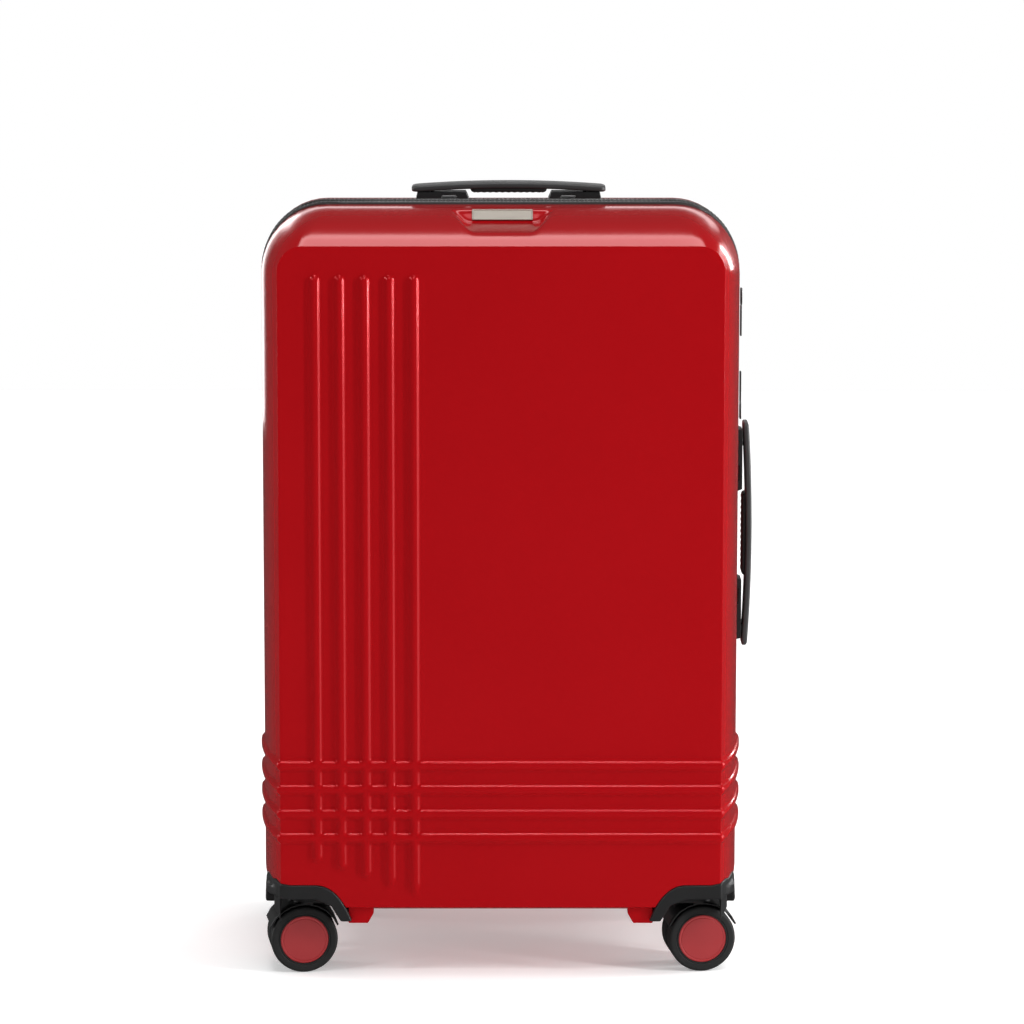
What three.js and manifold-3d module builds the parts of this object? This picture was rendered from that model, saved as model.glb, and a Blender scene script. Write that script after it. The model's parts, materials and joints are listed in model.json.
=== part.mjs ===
// Hard shell spinner suitcase: two ribbed half shells that open like a book on a zip, a two-stage trolley
// handle, two carry handles, a combination lock and four twin-wheel casters.
// Millimetres, +Z up, the front panel faces -Y, the origin is under the middle of the case on the floor.

import * as THREE from "three";
import { mergeVertices } from "three/addons/utils/BufferGeometryUtils.js";
import Module from "manifold-3d";

const wasm = await Module();
wasm.setup();

// ---------------------------------------------------------------- driving dimensions

const GAP = 0.3; // between pieces that touch
const SLIDE_GAP = 0.4; // between pieces that slide in each other
const THROUGH = 20; // how far a cut runs past the piece that it cuts
const FAR = 300; // farther out than any part of the case

const CASE = {
  halfWidth: 213.4,
  halfDepth: 141,
  height: 620.8, // of the shells, from their flat underside to their flat top
  skirt: 27, // how far their underside hangs below the caster housings' crown
  cornerRadius: 58, // at the top
  footRadius: 24, // at the bottom
  panelCornerRadius: 22,
  panelInset: 18.2, // the front panel's edge inside the case's outline, at the sides
  panelInsetAbove: 23, // the same at the top
  panelInsetBelow: 12, // the same at the bottom
  wall: 2.5,
  cornerSteps: 6,
};

// How the outline draws in from the zip to the panel: [share of the depth, share of the panel's inset].
const SHOULDER = [
  [0.34, 0],
  [0.64, 0.27],
  [0.85, 0.6],
  [1, 1],
];

const ZIP = { halfWidth: 15, proud: 2.5, depth: 9, split: 0.15 };

const RIB = { width: 9.4, height: 3, start: 20 };
const UPRIGHT_RIBS = {
  count: 5,
  firstX: -162.5,
  pitch: 21.63,
  belowTop: 48,
  aboveBottom: 48,
  bottomStep: -6.87,
};
const LEVEL_RIBS = { count: 4, aboveBottom: 70.1, pitch: 21.95 };

const LINING = { gap: 0.8, wall: 1.5 };

const PLATE = { x: 1.5, length: 54, height: 13, thick: 1.2 };
const SCOOP = {
  margin: 5,
  back: -51,
  floorBack: -63,
  floorFront: -112,
  depth: 10.5,
  flare: 12, // how far its ends lean out
  lean: 14, // how far its front leans out
  fall: 3, // how much its floor drops towards the front
  above: 3, // how far it is cut above the shell
};

const CASTER = {
  x: 166, // swivel axis from the middle of the case
  y: 99,
  trail: 12,
  wheelRadius: 30,
  wheelWidth: 16.5,
  wheelSpacing: 25, // between the two wheels' middle planes
  frontYaw: 8, // how far each pair is turned at rest, degrees
  backYaw: -12,
  axleRadius: 3,
  boreRadius: 3.35,
  capRadius: 21.5,
  capThick: 2,
  web: 7,
  fender: 2,
  fenderGap: 1.6,
  discRadius: 24,
  discThick: 7.5,
  pinRadius: 4,
  pinLength: 6,
};

const HOUSING = {
  roof: 13.5, // thickness above the swivel's disc
  cornerRise: 5.5, // how much its top climbs towards the outer corner
  cornerRun: 26,
  archReach: 82.5, // from the case's side to the front arch's inner foot
  archRadius: 33.5,
  rim: 13, // height of the arch's rim over the wheel
  post: [17.5, 29], // the skirt at the outer corner: its reach across and along
  postIn: 1.2, // how far it stands inside the case's side
  postDrop: 3, // how far it hangs below the arch's feet
  lip: 1, // how far the housing stands proud of the shell
  drumRadius: 46,
  drumRoof: 9,
  runningGap: 1.5, // round everything that the casters sweep
};

const FOOT = { inner: 113.5, outer: 133.5, height: 9, from: 122, to: 137, flare: 9, root: 18 };

const HANDLE = {
  y: 31,
  width: 24,
  thick: 5.4,
  pad: 4.5,
  crown: 16.5, // outer face above the case at the middle
  tipCrown: 13, // and at the tips
  bracketHeight: 7.2,
  legWidth: 12,
  legThick: 3,
  legIn: 15, // from the bracket's outer end to the leg
  window: [14, 2.4, 11], // length, height and distance from the bracket's inner end
};
const TOP_HANDLE = { centre: 7.5, length: 175, bracketLength: 48.3, tip: 3.6 };
const SIDE_HANDLE = { aboveBottom: 314.3, length: 207, bracketLength: 58.8, tip: 5.6 };

const TROLLEY = {
  y: 106,
  x: 62, // tube centres either side of the middle
  outer: [20, 14],
  wall: 1,
  aboveBottom: 18,
  stagger: 20, // each inner tube starts this much higher than the one round it
  gripLength: 150,
  gripWidth: 26,
  gripHeight: 17,
  belowTop: 11.2,
  bezelMargin: 10,
  bezelProud: 1,
  bezelHeight: 26,
  buttonLength: 34,
  buttonWidth: 12,
  buttonHeight: 6.5,
  buttonTravel: 3,
};

const LOCK = {
  y: 32,
  width: 28,
  belowTop: 172.7,
  height: 72,
  proud: 2.4,
  depth: 9,
  dials: 3,
  dialRadius: 5.4,
  dialWidth: 4.6,
  dialPitch: 8.4,
  dialProud: 1.1,
  releaseLength: 14,
  releaseWidth: 8,
  releaseTravel: 4,
  releaseThick: 2.4,
};

const SLIDER = { length: 15, width: 9, thick: 1.7, fromLock: 16 };
const PULLER = { length: 27, width: 7, thick: 1.4, from: 1.2, holeRadius: 1.8, holeFromEnd: 4.5 };

const COLOURS = {
  shell: [0xb0101a, 0.18, 0],
  zip: [0x2b2b2b, 0.85, 0],
  black: [0x2a2a2a, 0.5, 0],
  grip: [0x4a4a4a, 0.45, 0],
  metal: [0xa9a198, 0.35, 1],
  tube: [0xb9bcc0, 0.3, 1],
  tyre: [0x262626, 0.8, 0],
  cap: [0xad3234, 0.4, 0],
  lining: [0x3b3b3d, 0.95, 0],
};

// ---------------------------------------------------------------- derived places

const DEG = Math.PI / 180;
const FENDER_RADIUS = CASTER.wheelRadius + CASTER.fenderGap + CASTER.fender;
const DISC_BOTTOM = CASTER.wheelRadius + FENDER_RADIUS + SLIDE_GAP;
const DISC_TOP = DISC_BOTTOM + CASTER.discThick;
const CEILING = DISC_TOP + 0.5;
const CROWN = CEILING + HOUSING.roof;
const ARCH_FOOT = CROWN - HOUSING.archRadius;
const BOTTOM = CROWN - CASE.skirt;
const TOP = BOTTOM + CASE.height;
const TAPE_FACE = CASE.halfWidth + ZIP.proud;
const SHELL_START = ZIP.halfWidth;
const X_MIN = -TAPE_FACE;
const X_MAX = CASE.halfWidth + HANDLE.crown;
const MIDDLE_X = (X_MIN + X_MAX) / 2;
const PLATE_TILT = Math.atan2(SCOOP.depth, SCOOP.back - SCOOP.floorBack);
const GRIP_TOP = TOP - TROLLEY.belowTop;
const BEZEL_TOP = GRIP_TOP + TROLLEY.bezelProud;
const BEZEL_BOTTOM = BEZEL_TOP - TROLLEY.bezelHeight;
const LINING_FLOOR = TROLLEY.y - TROLLEY.outer[1] / 2 - 2;
const LOCK_LOW = TOP - LOCK.belowTop;
const LOCK_FACE = CASE.halfWidth + LOCK.proud;

// ---------------------------------------------------------------- geometry to solid and back

/** A manifold-3d solid from a closed three.js geometry. */
function solid(geometry) {
  const bare = geometry.clone();
  for (const name of Object.keys(bare.attributes)) {
    if (name !== "position") bare.deleteAttribute(name);
  }
  const merged = mergeVertices(bare, 1e-4);
  return new wasm.Manifold(
    new wasm.Mesh({
      numProp: 3,
      vertProperties: new Float32Array(merged.attributes.position.array),
      triVerts: new Uint32Array(merged.index.array),
    }),
  );
}

/** A three.js geometry from a solid. */
function geometryOf(body) {
  const mesh = body.getMesh();
  const geometry = new THREE.BufferGeometry();
  geometry.setAttribute("position", new THREE.BufferAttribute(new Float32Array(mesh.vertProperties), 3));
  geometry.setIndex(new THREE.BufferAttribute(new Uint32Array(mesh.triVerts), 1));
  const faceted = geometry.toNonIndexed();
  faceted.computeVertexNormals();
  return faceted;
}

/** A box between two corners. */
function box(low, high) {
  const size = high.map((v, i) => v - low[i]);
  const geometry = new THREE.BoxGeometry(...size);
  geometry.translate(...low.map((v, i) => v + size[i] / 2));
  return solid(geometry);
}

/** A cylinder whose axis is X, Y or Z, centred on a point. */
function cylinder(axis, centre, radius, length, sides = 24) {
  const geometry = new THREE.CylinderGeometry(radius, radius, length, sides);
  if (axis === "x") geometry.rotateZ(Math.PI / 2);
  if (axis === "z") geometry.rotateX(Math.PI / 2);
  geometry.translate(...centre);
  return solid(geometry);
}

/** A closed outline in XY pushed along Z, as a geometry. */
function extrude(points, length) {
  const shape = new THREE.Shape(points.map(([x, y]) => new THREE.Vector2(x, y)));
  return new THREE.ExtrudeGeometry(shape, { depth: length, bevelEnabled: false });
}

/** An outline of [x, z] points pushed along Y between two depths. */
function extrudeAlongY(points, from, to) {
  const geometry = extrude(points, to - from);
  geometry.rotateX(Math.PI / 2);
  geometry.translate(0, to, 0);
  return solid(geometry);
}

/** An outline of [y, z] points pushed along X between two places. */
function extrudeAlongX(points, from, to) {
  const geometry = extrude(points, to - from);
  geometry.rotateX(Math.PI / 2);
  geometry.rotateZ(Math.PI / 2);
  geometry.translate(from, 0, 0);
  return solid(geometry);
}

/** A solid turned from a profile of [radius, z] points, with its axis along Z. */
function turned(profile, sides = 32) {
  const points = profile.map(([r, z]) => new THREE.Vector2(r, z));
  const geometry = new THREE.LatheGeometry(points, sides);
  geometry.rotateX(Math.PI / 2);
  const body = solid(geometry);
  if (body.volume() > 0) return body;
  return solid(new THREE.LatheGeometry([...points].reverse(), sides).rotateX(Math.PI / 2));
}

/** Points of a rounded rectangle, anticlockwise; its lower corners may have a radius of their own. */
function roundedRectangle(x0, x1, z0, z1, radius, steps, lowerRadius = radius) {
  const corners = [
    [x1 - radius, z1 - radius, 0, radius],
    [x0 + radius, z1 - radius, 90, radius],
    [x0 + lowerRadius, z0 + lowerRadius, 180, lowerRadius],
    [x1 - lowerRadius, z0 + lowerRadius, 270, lowerRadius],
  ];
  return corners.flatMap(([cx, cz, start, r]) =>
    Array.from({ length: steps + 1 }, (_, i) => {
      const angle = (start + (90 * i) / steps) * DEG;
      return [cx + r * Math.cos(angle), cz + r * Math.sin(angle)];
    }),
  );
}

/** A closed solid through rings of equal point counts, flat at both ends. */
function loft(rings) {
  const count = rings[0].length;
  const positions = rings.flat(2);
  const index = [];
  for (let r = 0; r + 1 < rings.length; r++) {
    for (let i = 0; i < count; i++) {
      const a = r * count + i;
      const b = r * count + ((i + 1) % count);
      index.push(a, b, b + count, a, b + count, a + count);
    }
  }
  const last = (rings.length - 1) * count;
  for (let i = 1; i + 1 < count; i++) {
    index.push(0, i + 1, i);
    index.push(last, last + i, last + i + 1);
  }
  const geometry = new THREE.BufferGeometry();
  geometry.setAttribute("position", new THREE.Float32BufferAttribute(positions, 3));
  geometry.setIndex(index);
  const body = solid(geometry);
  if (body.volume() > 0) return body;
  geometry.setIndex(index.map((_, i) => index[i - (i % 3) + (2 - (i % 3))]));
  return solid(geometry);
}

/** One solid from several. */
function join(...bodies) {
  return bodies.reduce((sum, body) => sum.add(body));
}

// ---------------------------------------------------------------- the case's own form

/** The case's outline at one depth from the zip, drawn in by an inset and then moved out by grow. */
function outline(y, drawIn, grow) {
  const side = CASE.panelInset * drawIn - grow;
  const above = CASE.panelInsetAbove * drawIn - grow;
  const below = CASE.panelInsetBelow * drawIn - grow;
  const radiusFrom = (own) => own + (CASE.panelCornerRadius - own) * drawIn + grow;
  const points = roundedRectangle(
    -CASE.halfWidth + side,
    CASE.halfWidth - side,
    BOTTOM + below,
    TOP - above,
    radiusFrom(CASE.cornerRadius),
    CASE.cornerSteps,
    radiusFrom(CASE.footRadius),
  );
  return points.map(([x, z]) => [x, y, z]);
}

/** Half of the case's form as a solid, from one depth to the panel, moved outward by grow. */
function halfForm(facing, start, grow) {
  const rings = [outline(facing * start, 0, grow)];
  for (const [depth, drawIn] of SHOULDER) {
    rings.push(outline(facing * (CASE.halfDepth * depth + (depth === 1 ? grow : 0)), drawIn, grow));
  }
  return loft(rings);
}

/** The back half of the case's outline seen from above, moved outward by grow, as a tall prism. */
function planPrism(grow) {
  const side = SHOULDER.map(([depth, drawIn]) => [
    CASE.halfWidth - CASE.panelInset * drawIn + grow,
    CASE.halfDepth * depth + (depth === 1 ? grow : 0),
  ]);
  const last = side[side.length - 1];
  return solid(extrude([[0, 0], [CASE.halfWidth + grow, 0], ...side, [0, last[1]]], TOP));
}

// ---------------------------------------------------------------- recesses for the casters and the name plate

/** The arch over a wheel pair seen along one axis: from the inner foot up and over to the outer corner. */
function archOutline(outer, reach, crown, grow) {
  const foot = outer - reach - grow;
  const top = crown + grow;
  const points = [[outer + THROUGH, top + HOUSING.cornerRise]];
  points.push([outer, top + HOUSING.cornerRise]);
  points.push([outer - HOUSING.cornerRun, top]);
  const bend = new THREE.QuadraticBezierCurve(
    new THREE.Vector2(foot + HOUSING.archRadius, top),
    new THREE.Vector2(foot + HOUSING.archRadius * 0.38, top),
    new THREE.Vector2(foot, ARCH_FOOT - 2),
  );
  for (const p of bend.getPoints(5)) points.push([p.x, p.y]);
  points.push([foot, -THROUGH]);
  points.push([outer + THROUGH, -THROUGH]);
  return points;
}

/** The arched part of a caster housing's room, for the corner at +X and +Y. */
function archRoom(grow) {
  const across = archOutline(CASE.halfWidth, HOUSING.archReach, CROWN, grow);
  const along = archOutline(CASE.halfDepth, HOUSING.archReach, CROWN, grow);
  const overWidth = extrudeAlongY(across, 0, CASE.halfDepth + THROUGH);
  return overWidth.intersect(extrudeAlongX(along, 0, CASE.halfWidth + THROUGH));
}

/** The round part of it, over the swivel. */
function drumRoom(grow) {
  const top = CEILING + HOUSING.drumRoof + grow;
  const drum = cylinder("z", [CASTER.x, CASTER.y, top / 2], HOUSING.drumRadius + grow, top, 24);
  const reach = box([0, 0, -1], [CASE.halfWidth - 4 + grow, CASE.halfDepth - 12 + grow, top + 1]);
  return drum.intersect(reach);
}

/** The room that one caster's housing takes out of the shell, for the corner at +X and +Y. */
function cornerRoom(grow) {
  return archRoom(grow).add(drumRoom(grow));
}

/** Copies a solid made at the +X +Y corner into the corner with the given signs. */
function toCorner(body, signX, signY) {
  return body.scale([signX, signY, 1]);
}

/** The scoop in the front shoulder that the name plate sits in. */
function scoopRoom(grow) {
  const half = PLATE.length / 2 + SCOOP.margin + grow;
  const ring = (reach, back, front, high, low) => [
    [PLATE.x - reach, back + grow, high],
    [PLATE.x + reach, back + grow, high],
    [PLATE.x + reach, front - grow, low],
    [PLATE.x - reach, front - grow, low],
  ];
  const floor = TOP - SCOOP.depth - grow;
  const mouth = TOP + SCOOP.above;
  return loft([
    ring(half, SCOOP.floorBack, SCOOP.floorFront, floor, floor - SCOOP.fall),
    ring(half + SCOOP.flare, SCOOP.back + SCOOP.above, SCOOP.floorFront - SCOOP.lean, mouth, mouth),
  ]);
}

/** Everything taken out of one half of the case's form, moved outward by grow. */
function roomsOf(facing, grow) {
  const corners = [-1, 1].map((side) => toCorner(cornerRoom(grow), side, facing));
  const rooms = join(...corners);
  return facing < 0 ? rooms.add(scoopRoom(grow)) : rooms.add(bezelRoom(grow));
}

/** The room that the trolley handle's bezel takes out of the back shell. */
function bezelRoom(grow) {
  const halfLength = TROLLEY.gripLength / 2 + TROLLEY.bezelMargin + GAP + grow;
  const halfWidth = TROLLEY.gripWidth / 2 + TROLLEY.bezelMargin / 2 + GAP + grow;
  return box(
    [-halfLength, TROLLEY.y - halfWidth, BEZEL_BOTTOM - GAP - grow],
    [halfLength, TROLLEY.y + halfWidth, TOP + 5],
  );
}

// ---------------------------------------------------------------- shells, zip and linings

/** The ribs on one half: uprights on the panel and level ones that wrap round its sides. */
function ribs(facing) {
  const skin = halfForm(facing, RIB.start, RIB.height);
  const bars = [];
  for (let i = 0; i < UPRIGHT_RIBS.count; i++) {
    const x = UPRIGHT_RIBS.firstX + i * UPRIGHT_RIBS.pitch;
    const low = BOTTOM + UPRIGHT_RIBS.aboveBottom + i * UPRIGHT_RIBS.bottomStep;
    const high = TOP - UPRIGHT_RIBS.belowTop;
    const ends = [CASE.halfDepth - 1, CASE.halfDepth + RIB.height].map((y) => y * facing);
    const section = [0.5, 0.3].map((share, k) => {
      const reach = RIB.width * share;
      return [
        [x - reach, ends[k], low + reach],
        [x + reach, ends[k], low + reach],
        [x + reach, ends[k], high - reach],
        [x - reach, ends[k], high - reach],
      ];
    });
    bars.push(loft(section));
  }
  for (let i = 0; i < LEVEL_RIBS.count; i++) {
    const z = BOTTOM + LEVEL_RIBS.aboveBottom + i * LEVEL_RIBS.pitch;
    const reach = RIB.width * 0.4;
    bars.push(skin.intersect(box([-FAR, -FAR, z - reach], [FAR, FAR, z + reach])));
  }
  return join(...bars);
}

/** The two small feet under one half, beside its casters. */
function feet(facing) {
  const pads = [-1, 1].map((side) => {
    const outlinePoints = [
      [FOOT.inner, BOTTOM - FOOT.height],
      [FOOT.outer, BOTTOM - FOOT.height],
      [FOOT.outer, BOTTOM + FOOT.root],
      [FOOT.inner - FOOT.flare, BOTTOM + FOOT.root],
      [FOOT.inner - FOOT.flare, BOTTOM],
    ];
    return toCorner(extrudeAlongY(outlinePoints, FOOT.from, FOOT.to), side, facing);
  });
  return join(...pads);
}

/** The room that the lock's body takes out of the back shell and its lining. */
function lockRoom(grow) {
  return box(
    [CASE.halfWidth - LOCK.depth - grow, LOCK.y - LOCK.width / 2 - grow, LOCK_LOW - grow],
    [LOCK_FACE + 5, LOCK.y + LOCK.width / 2 + grow, LOCK_LOW + LOCK.height + grow],
  );
}

/** A bar for each trolley tube, of the tube's outer size moved outward by grow. */
function tubeBars(size, low, high, grow) {
  const bars = [-1, 1].map((side) =>
    box(
      [side * TROLLEY.x - size[0] / 2 - grow, TROLLEY.y - size[1] / 2 - grow, low],
      [side * TROLLEY.x + size[0] / 2 + grow, TROLLEY.y + size[1] / 2 + grow, high],
    ),
  );
  return join(...bars);
}

/** One half shell: walls of one thickness that follow its form and its rooms. */
function shell(facing) {
  const outside = join(halfForm(facing, SHELL_START, 0), ribs(facing), feet(facing));
  const hollow = halfForm(facing, SHELL_START - 1, -CASE.wall).subtract(roomsOf(facing, CASE.wall));
  const walls = outside.subtract(roomsOf(facing, 0)).subtract(hollow);
  if (facing < 0) return walls;
  const tubeHoles = tubeBars(TROLLEY.outer, BEZEL_BOTTOM - THROUGH, BEZEL_BOTTOM + THROUGH / 4, GAP);
  return walls.subtract(lockRoom(GAP)).subtract(tubeHoles);
}

/** The fabric lining inside one shell, with a false floor in front of the trolley tubes at the back. */
function lining(facing) {
  const skin = CASE.wall + LINING.gap;
  const floor = facing > 0 ? LINING_FLOOR : CASE.halfDepth;
  const start = SHELL_START + 1;
  const reach = (inset, low, high) =>
    halfForm(facing, low, -inset).intersect(
      box([-FAR, facing < 0 ? -high : low - 1, 0], [FAR, facing < 0 ? -low + 1 : high, TOP + THROUGH]),
    );
  const outside = reach(skin, start, floor).subtract(roomsOf(facing, skin));
  const inside = reach(skin + LINING.wall, start - 1, floor - LINING.wall);
  const bag = outside.subtract(inside.subtract(roomsOf(facing, skin + LINING.wall)));
  return facing < 0 ? bag : bag.subtract(lockRoom(1));
}

/** One zip tape: the black band between the shell's edge and the zip's middle. */
function zipTape(facing) {
  const ends = [ZIP.split, ZIP.halfWidth - GAP].map((y) => y * facing);
  const outer = loft(ends.map((y) => outline(y, 0, ZIP.proud)));
  const inner = loft([0, ZIP.halfWidth + 1].map((y) => outline(y * facing, 0, ZIP.proud - ZIP.depth)));
  return outer.subtract(inner);
}

// ---------------------------------------------------------------- carry handles

/** A carry handle's grip, lying along X with the case's face at z = 0. */
function handleGrip({ length, bracketLength, tip }) {
  const half = length / 2;
  const crownAt = (x) => HANDLE.tipCrown + (HANDLE.crown - HANDLE.tipCrown) * (1 - (x / half) ** 2);
  const steps = 12;
  const across = Array.from({ length: steps + 1 }, (_, i) => -half + (length * i) / steps);
  const top = across.map((x) => [x, crownAt(x)]);
  const under = across.map((x) => [x, crownAt(x) - HANDLE.thick]).reverse();
  const bar = extrudeAlongY([...under, ...top], -HANDLE.width / 2, HANDLE.width / 2);
  const padReach = half - tip - bracketLength - 1;
  const padLow = HANDLE.crown - HANDLE.thick - HANDLE.pad;
  const pad = box(
    [-padReach, -HANDLE.width / 2 + 1.5, padLow],
    [padReach, HANDLE.width / 2 - 1.5, HANDLE.crown - HANDLE.thick],
  );
  const legX = half - tip - HANDLE.legIn;
  const legs = [-1, 1].map((side) =>
    box(
      [side * legX - HANDLE.legThick / 2, -HANDLE.legWidth / 2, 1],
      [side * legX + HANDLE.legThick / 2, HANDLE.legWidth / 2, crownAt(legX) - 1],
    ),
  );
  return join(bar, pad, ...legs);
}

/** One of a carry handle's two brackets, on the -X side for side = -1. */
function handleBracket({ length, bracketLength, tip }, side) {
  const outer = length / 2 - tip;
  const inner = outer - bracketLength;
  const halfWidth = HANDLE.width / 2;
  const low = GAP;
  const high = HANDLE.bracketHeight;
  const profile = [
    [inner, low],
    [outer, low],
    [outer - 1.5, high],
    [inner + 3, high],
  ];
  const block = extrudeAlongY(profile, -halfWidth, halfWidth);
  const legX = outer - HANDLE.legIn;
  const slot = box(
    [legX - HANDLE.legThick / 2 - SLIDE_GAP, -HANDLE.legWidth / 2 - SLIDE_GAP, -1],
    [legX + HANDLE.legThick / 2 + SLIDE_GAP, HANDLE.legWidth / 2 + SLIDE_GAP, high + 1],
  );
  const [windowLength, windowHeight, windowFrom] = HANDLE.window;
  const window = box(
    [inner + windowFrom, -halfWidth - 1, 2],
    [inner + windowFrom + windowLength, halfWidth + 1, 2 + windowHeight],
  );
  return toCorner(block.subtract(slot).subtract(window), side, 1);
}

// ---------------------------------------------------------------- trolley handle

/** A rectangular tube standing at a place, open at both ends. */
function tube(size, side, low, high) {
  const x = side * TROLLEY.x;
  const [w, d] = size.map((v) => v / 2);
  const outer = box([x - w, TROLLEY.y - d, low], [x + w, TROLLEY.y + d, high]);
  const wall = TROLLEY.wall;
  const bore = box(
    [x - w + wall, TROLLEY.y - d + wall, low - 1],
    [x + w - wall, TROLLEY.y + d - wall, high + 1],
  );
  return outer.subtract(bore);
}

/** The outer size of the tube that slides inside a tube of the given size. */
function nextTube(size) {
  return size.map((v) => v - 2 * (TROLLEY.wall + SLIDE_GAP));
}

const MID_TUBE = nextTube(TROLLEY.outer);
const INNER_TUBE = nextTube(MID_TUBE);
const TUBE_FOOT = BOTTOM + TROLLEY.aboveBottom;
const POCKET_FLOOR = GRIP_TOP - TROLLEY.gripHeight - 0.5;

/** The trolley's grip, with a pocket for its button. */
function trolleyGrip() {
  const [halfLength, halfWidth] = [TROLLEY.gripLength / 2, TROLLEY.gripWidth / 2];
  const low = GRIP_TOP - TROLLEY.gripHeight;
  const side = roundedRectangle(-halfWidth, halfWidth, low, GRIP_TOP, 6, 3);
  const bar = extrudeAlongX(
    side.map(([y, z]) => [y + TROLLEY.y, z]),
    -halfLength,
    halfLength,
  );
  const pocketLength = TROLLEY.buttonLength / 2 + GAP;
  const pocketWidth = TROLLEY.buttonWidth / 2 + GAP;
  const pocket = box(
    [-pocketLength, TROLLEY.y - pocketWidth, buttonLow() - TROLLEY.buttonTravel - 0.5],
    [pocketLength, TROLLEY.y + pocketWidth, GRIP_TOP + THROUGH],
  );
  return bar.subtract(pocket);
}

/** The height of the button's underside at rest. */
function buttonLow() {
  return GRIP_TOP + 0.8 - TROLLEY.buttonHeight;
}

/** The push button in the trolley's grip. */
function trolleyButton() {
  const low = buttonLow();
  const outlinePoints = roundedRectangle(
    -TROLLEY.buttonLength / 2,
    TROLLEY.buttonLength / 2,
    -TROLLEY.buttonWidth / 2,
    TROLLEY.buttonWidth / 2,
    3,
    3,
  );
  const geometry = extrude(outlinePoints, TROLLEY.buttonHeight);
  geometry.translate(0, TROLLEY.y, low);
  return solid(geometry);
}

/** The bezel that the grip sits in, let into the top of the back shell. */
function trolleyBezel() {
  const halfLength = TROLLEY.gripLength / 2 + TROLLEY.bezelMargin;
  const halfWidth = TROLLEY.gripWidth / 2 + TROLLEY.bezelMargin / 2;
  const block = box(
    [-halfLength, TROLLEY.y - halfWidth, BEZEL_BOTTOM],
    [halfLength, TROLLEY.y + halfWidth, BEZEL_TOP],
  );
  const pocket = box(
    [-TROLLEY.gripLength / 2 - 0.5, TROLLEY.y - TROLLEY.gripWidth / 2 - 0.5, POCKET_FLOOR],
    [TROLLEY.gripLength / 2 + 0.5, TROLLEY.y + TROLLEY.gripWidth / 2 + 0.5, BEZEL_TOP + 1],
  );
  const fingerRoom = box(
    [-TROLLEY.gripLength / 4, TROLLEY.y, POCKET_FLOOR + 6],
    [TROLLEY.gripLength / 4, TROLLEY.y + halfWidth + 1, BEZEL_TOP + 1],
  );
  const holes = tubeBars(MID_TUBE, BEZEL_BOTTOM - 1, POCKET_FLOOR + 1, SLIDE_GAP);
  return block.subtract(pocket).subtract(fingerRoom).subtract(holes);
}

/** The bracket that holds the outer tubes' feet in the bottom of the back shell. */
function trolleyBase() {
  const [w, d] = TROLLEY.outer.map((v) => v / 2 + 2);
  const low = BOTTOM + 9.6;
  const outlinePoints = roundedRectangle(-TROLLEY.x - w - 6, TROLLEY.x + w + 6, -d, d, 4, 3);
  const geometry = extrude(outlinePoints, TUBE_FOOT - GAP - low);
  geometry.translate(0, TROLLEY.y, low);
  return solid(geometry);
}

// ---------------------------------------------------------------- lock and zip pulls

const DIAL_X = LOCK_FACE + LOCK.dialProud - LOCK.dialRadius;
const DIAL_FIRST = LOCK_LOW + 14;
const RELEASE_LOW = LOCK_LOW + LOCK.height - 12 - LOCK.releaseLength;

/** The lock's body, with slots for its dials and a track for its release. */
function lockBody() {
  let body = box(
    [CASE.halfWidth - LOCK.depth, LOCK.y - LOCK.width / 2, LOCK_LOW],
    [LOCK_FACE, LOCK.y + LOCK.width / 2, LOCK_LOW + LOCK.height],
  );
  for (let i = 0; i < LOCK.dials; i++) {
    const centre = [DIAL_X, LOCK.y, DIAL_FIRST + i * LOCK.dialPitch];
    const room = LOCK.dialWidth + 2 * SLIDE_GAP;
    body = body.subtract(cylinder("z", centre, LOCK.dialRadius + SLIDE_GAP, room));
  }
  const reach = LOCK.releaseWidth / 2 + GAP;
  const track = box(
    [LOCK_FACE - LOCK.releaseThick / 2 - GAP, LOCK.y - reach, RELEASE_LOW - LOCK.releaseTravel - GAP],
    [LOCK_FACE + 1, LOCK.y + reach, RELEASE_LOW + LOCK.releaseLength + GAP],
  );
  return body.subtract(track);
}

/** One number dial of the lock. */
function lockDial(i) {
  const centre = [DIAL_X, LOCK.y, DIAL_FIRST + i * LOCK.dialPitch];
  return cylinder("z", centre, LOCK.dialRadius, LOCK.dialWidth, 20);
}

/** The lock's release, a small slide. */
function lockRelease() {
  return box(
    [LOCK_FACE - LOCK.releaseThick / 2, LOCK.y - LOCK.releaseWidth / 2, RELEASE_LOW],
    [LOCK_FACE + LOCK.releaseThick / 2, LOCK.y + LOCK.releaseWidth / 2, RELEASE_LOW + LOCK.releaseLength],
  );
}

/** A zip slider, lying along X on a face at z = 0, tapered towards its puller. */
function zipSlider() {
  const [l, w] = [SLIDER.length / 2, SLIDER.width / 2];
  const outlinePoints = [
    [-l, -w],
    [l - 4, -w],
    [l, -w * 0.5],
    [l, w * 0.5],
    [l - 4, w],
    [-l, w],
  ];
  return solid(extrude(outlinePoints, SLIDER.thick));
}

/** A zip puller with a hole in its end, lying along X from its pivot. */
function zipPuller() {
  const outlinePoints = roundedRectangle(
    -PULLER.thick / 2,
    PULLER.length,
    -PULLER.width / 2,
    PULLER.width / 2,
    PULLER.thick / 2,
    2,
  );
  const plate = solid(extrude(outlinePoints, PULLER.thick));
  const hole = cylinder("z", [PULLER.length - PULLER.holeFromEnd, 0, 0], PULLER.holeRadius, THROUGH, 12);
  return plate.subtract(hole);
}

// ---------------------------------------------------------------- casters

/** The farthest that a caster reaches from its swivel axis at a height, with its running gap. */
function sweptRadius(z) {
  const rise = Math.min(Math.abs(z - CASTER.wheelRadius), FENDER_RADIUS);
  const chord = Math.sqrt(FENDER_RADIUS ** 2 - rise ** 2);
  const halfWidth = (CASTER.wheelSpacing + CASTER.wheelWidth) / 2;
  return Math.hypot(CASTER.trail + chord, halfWidth) + HOUSING.runningGap;
}

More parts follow.
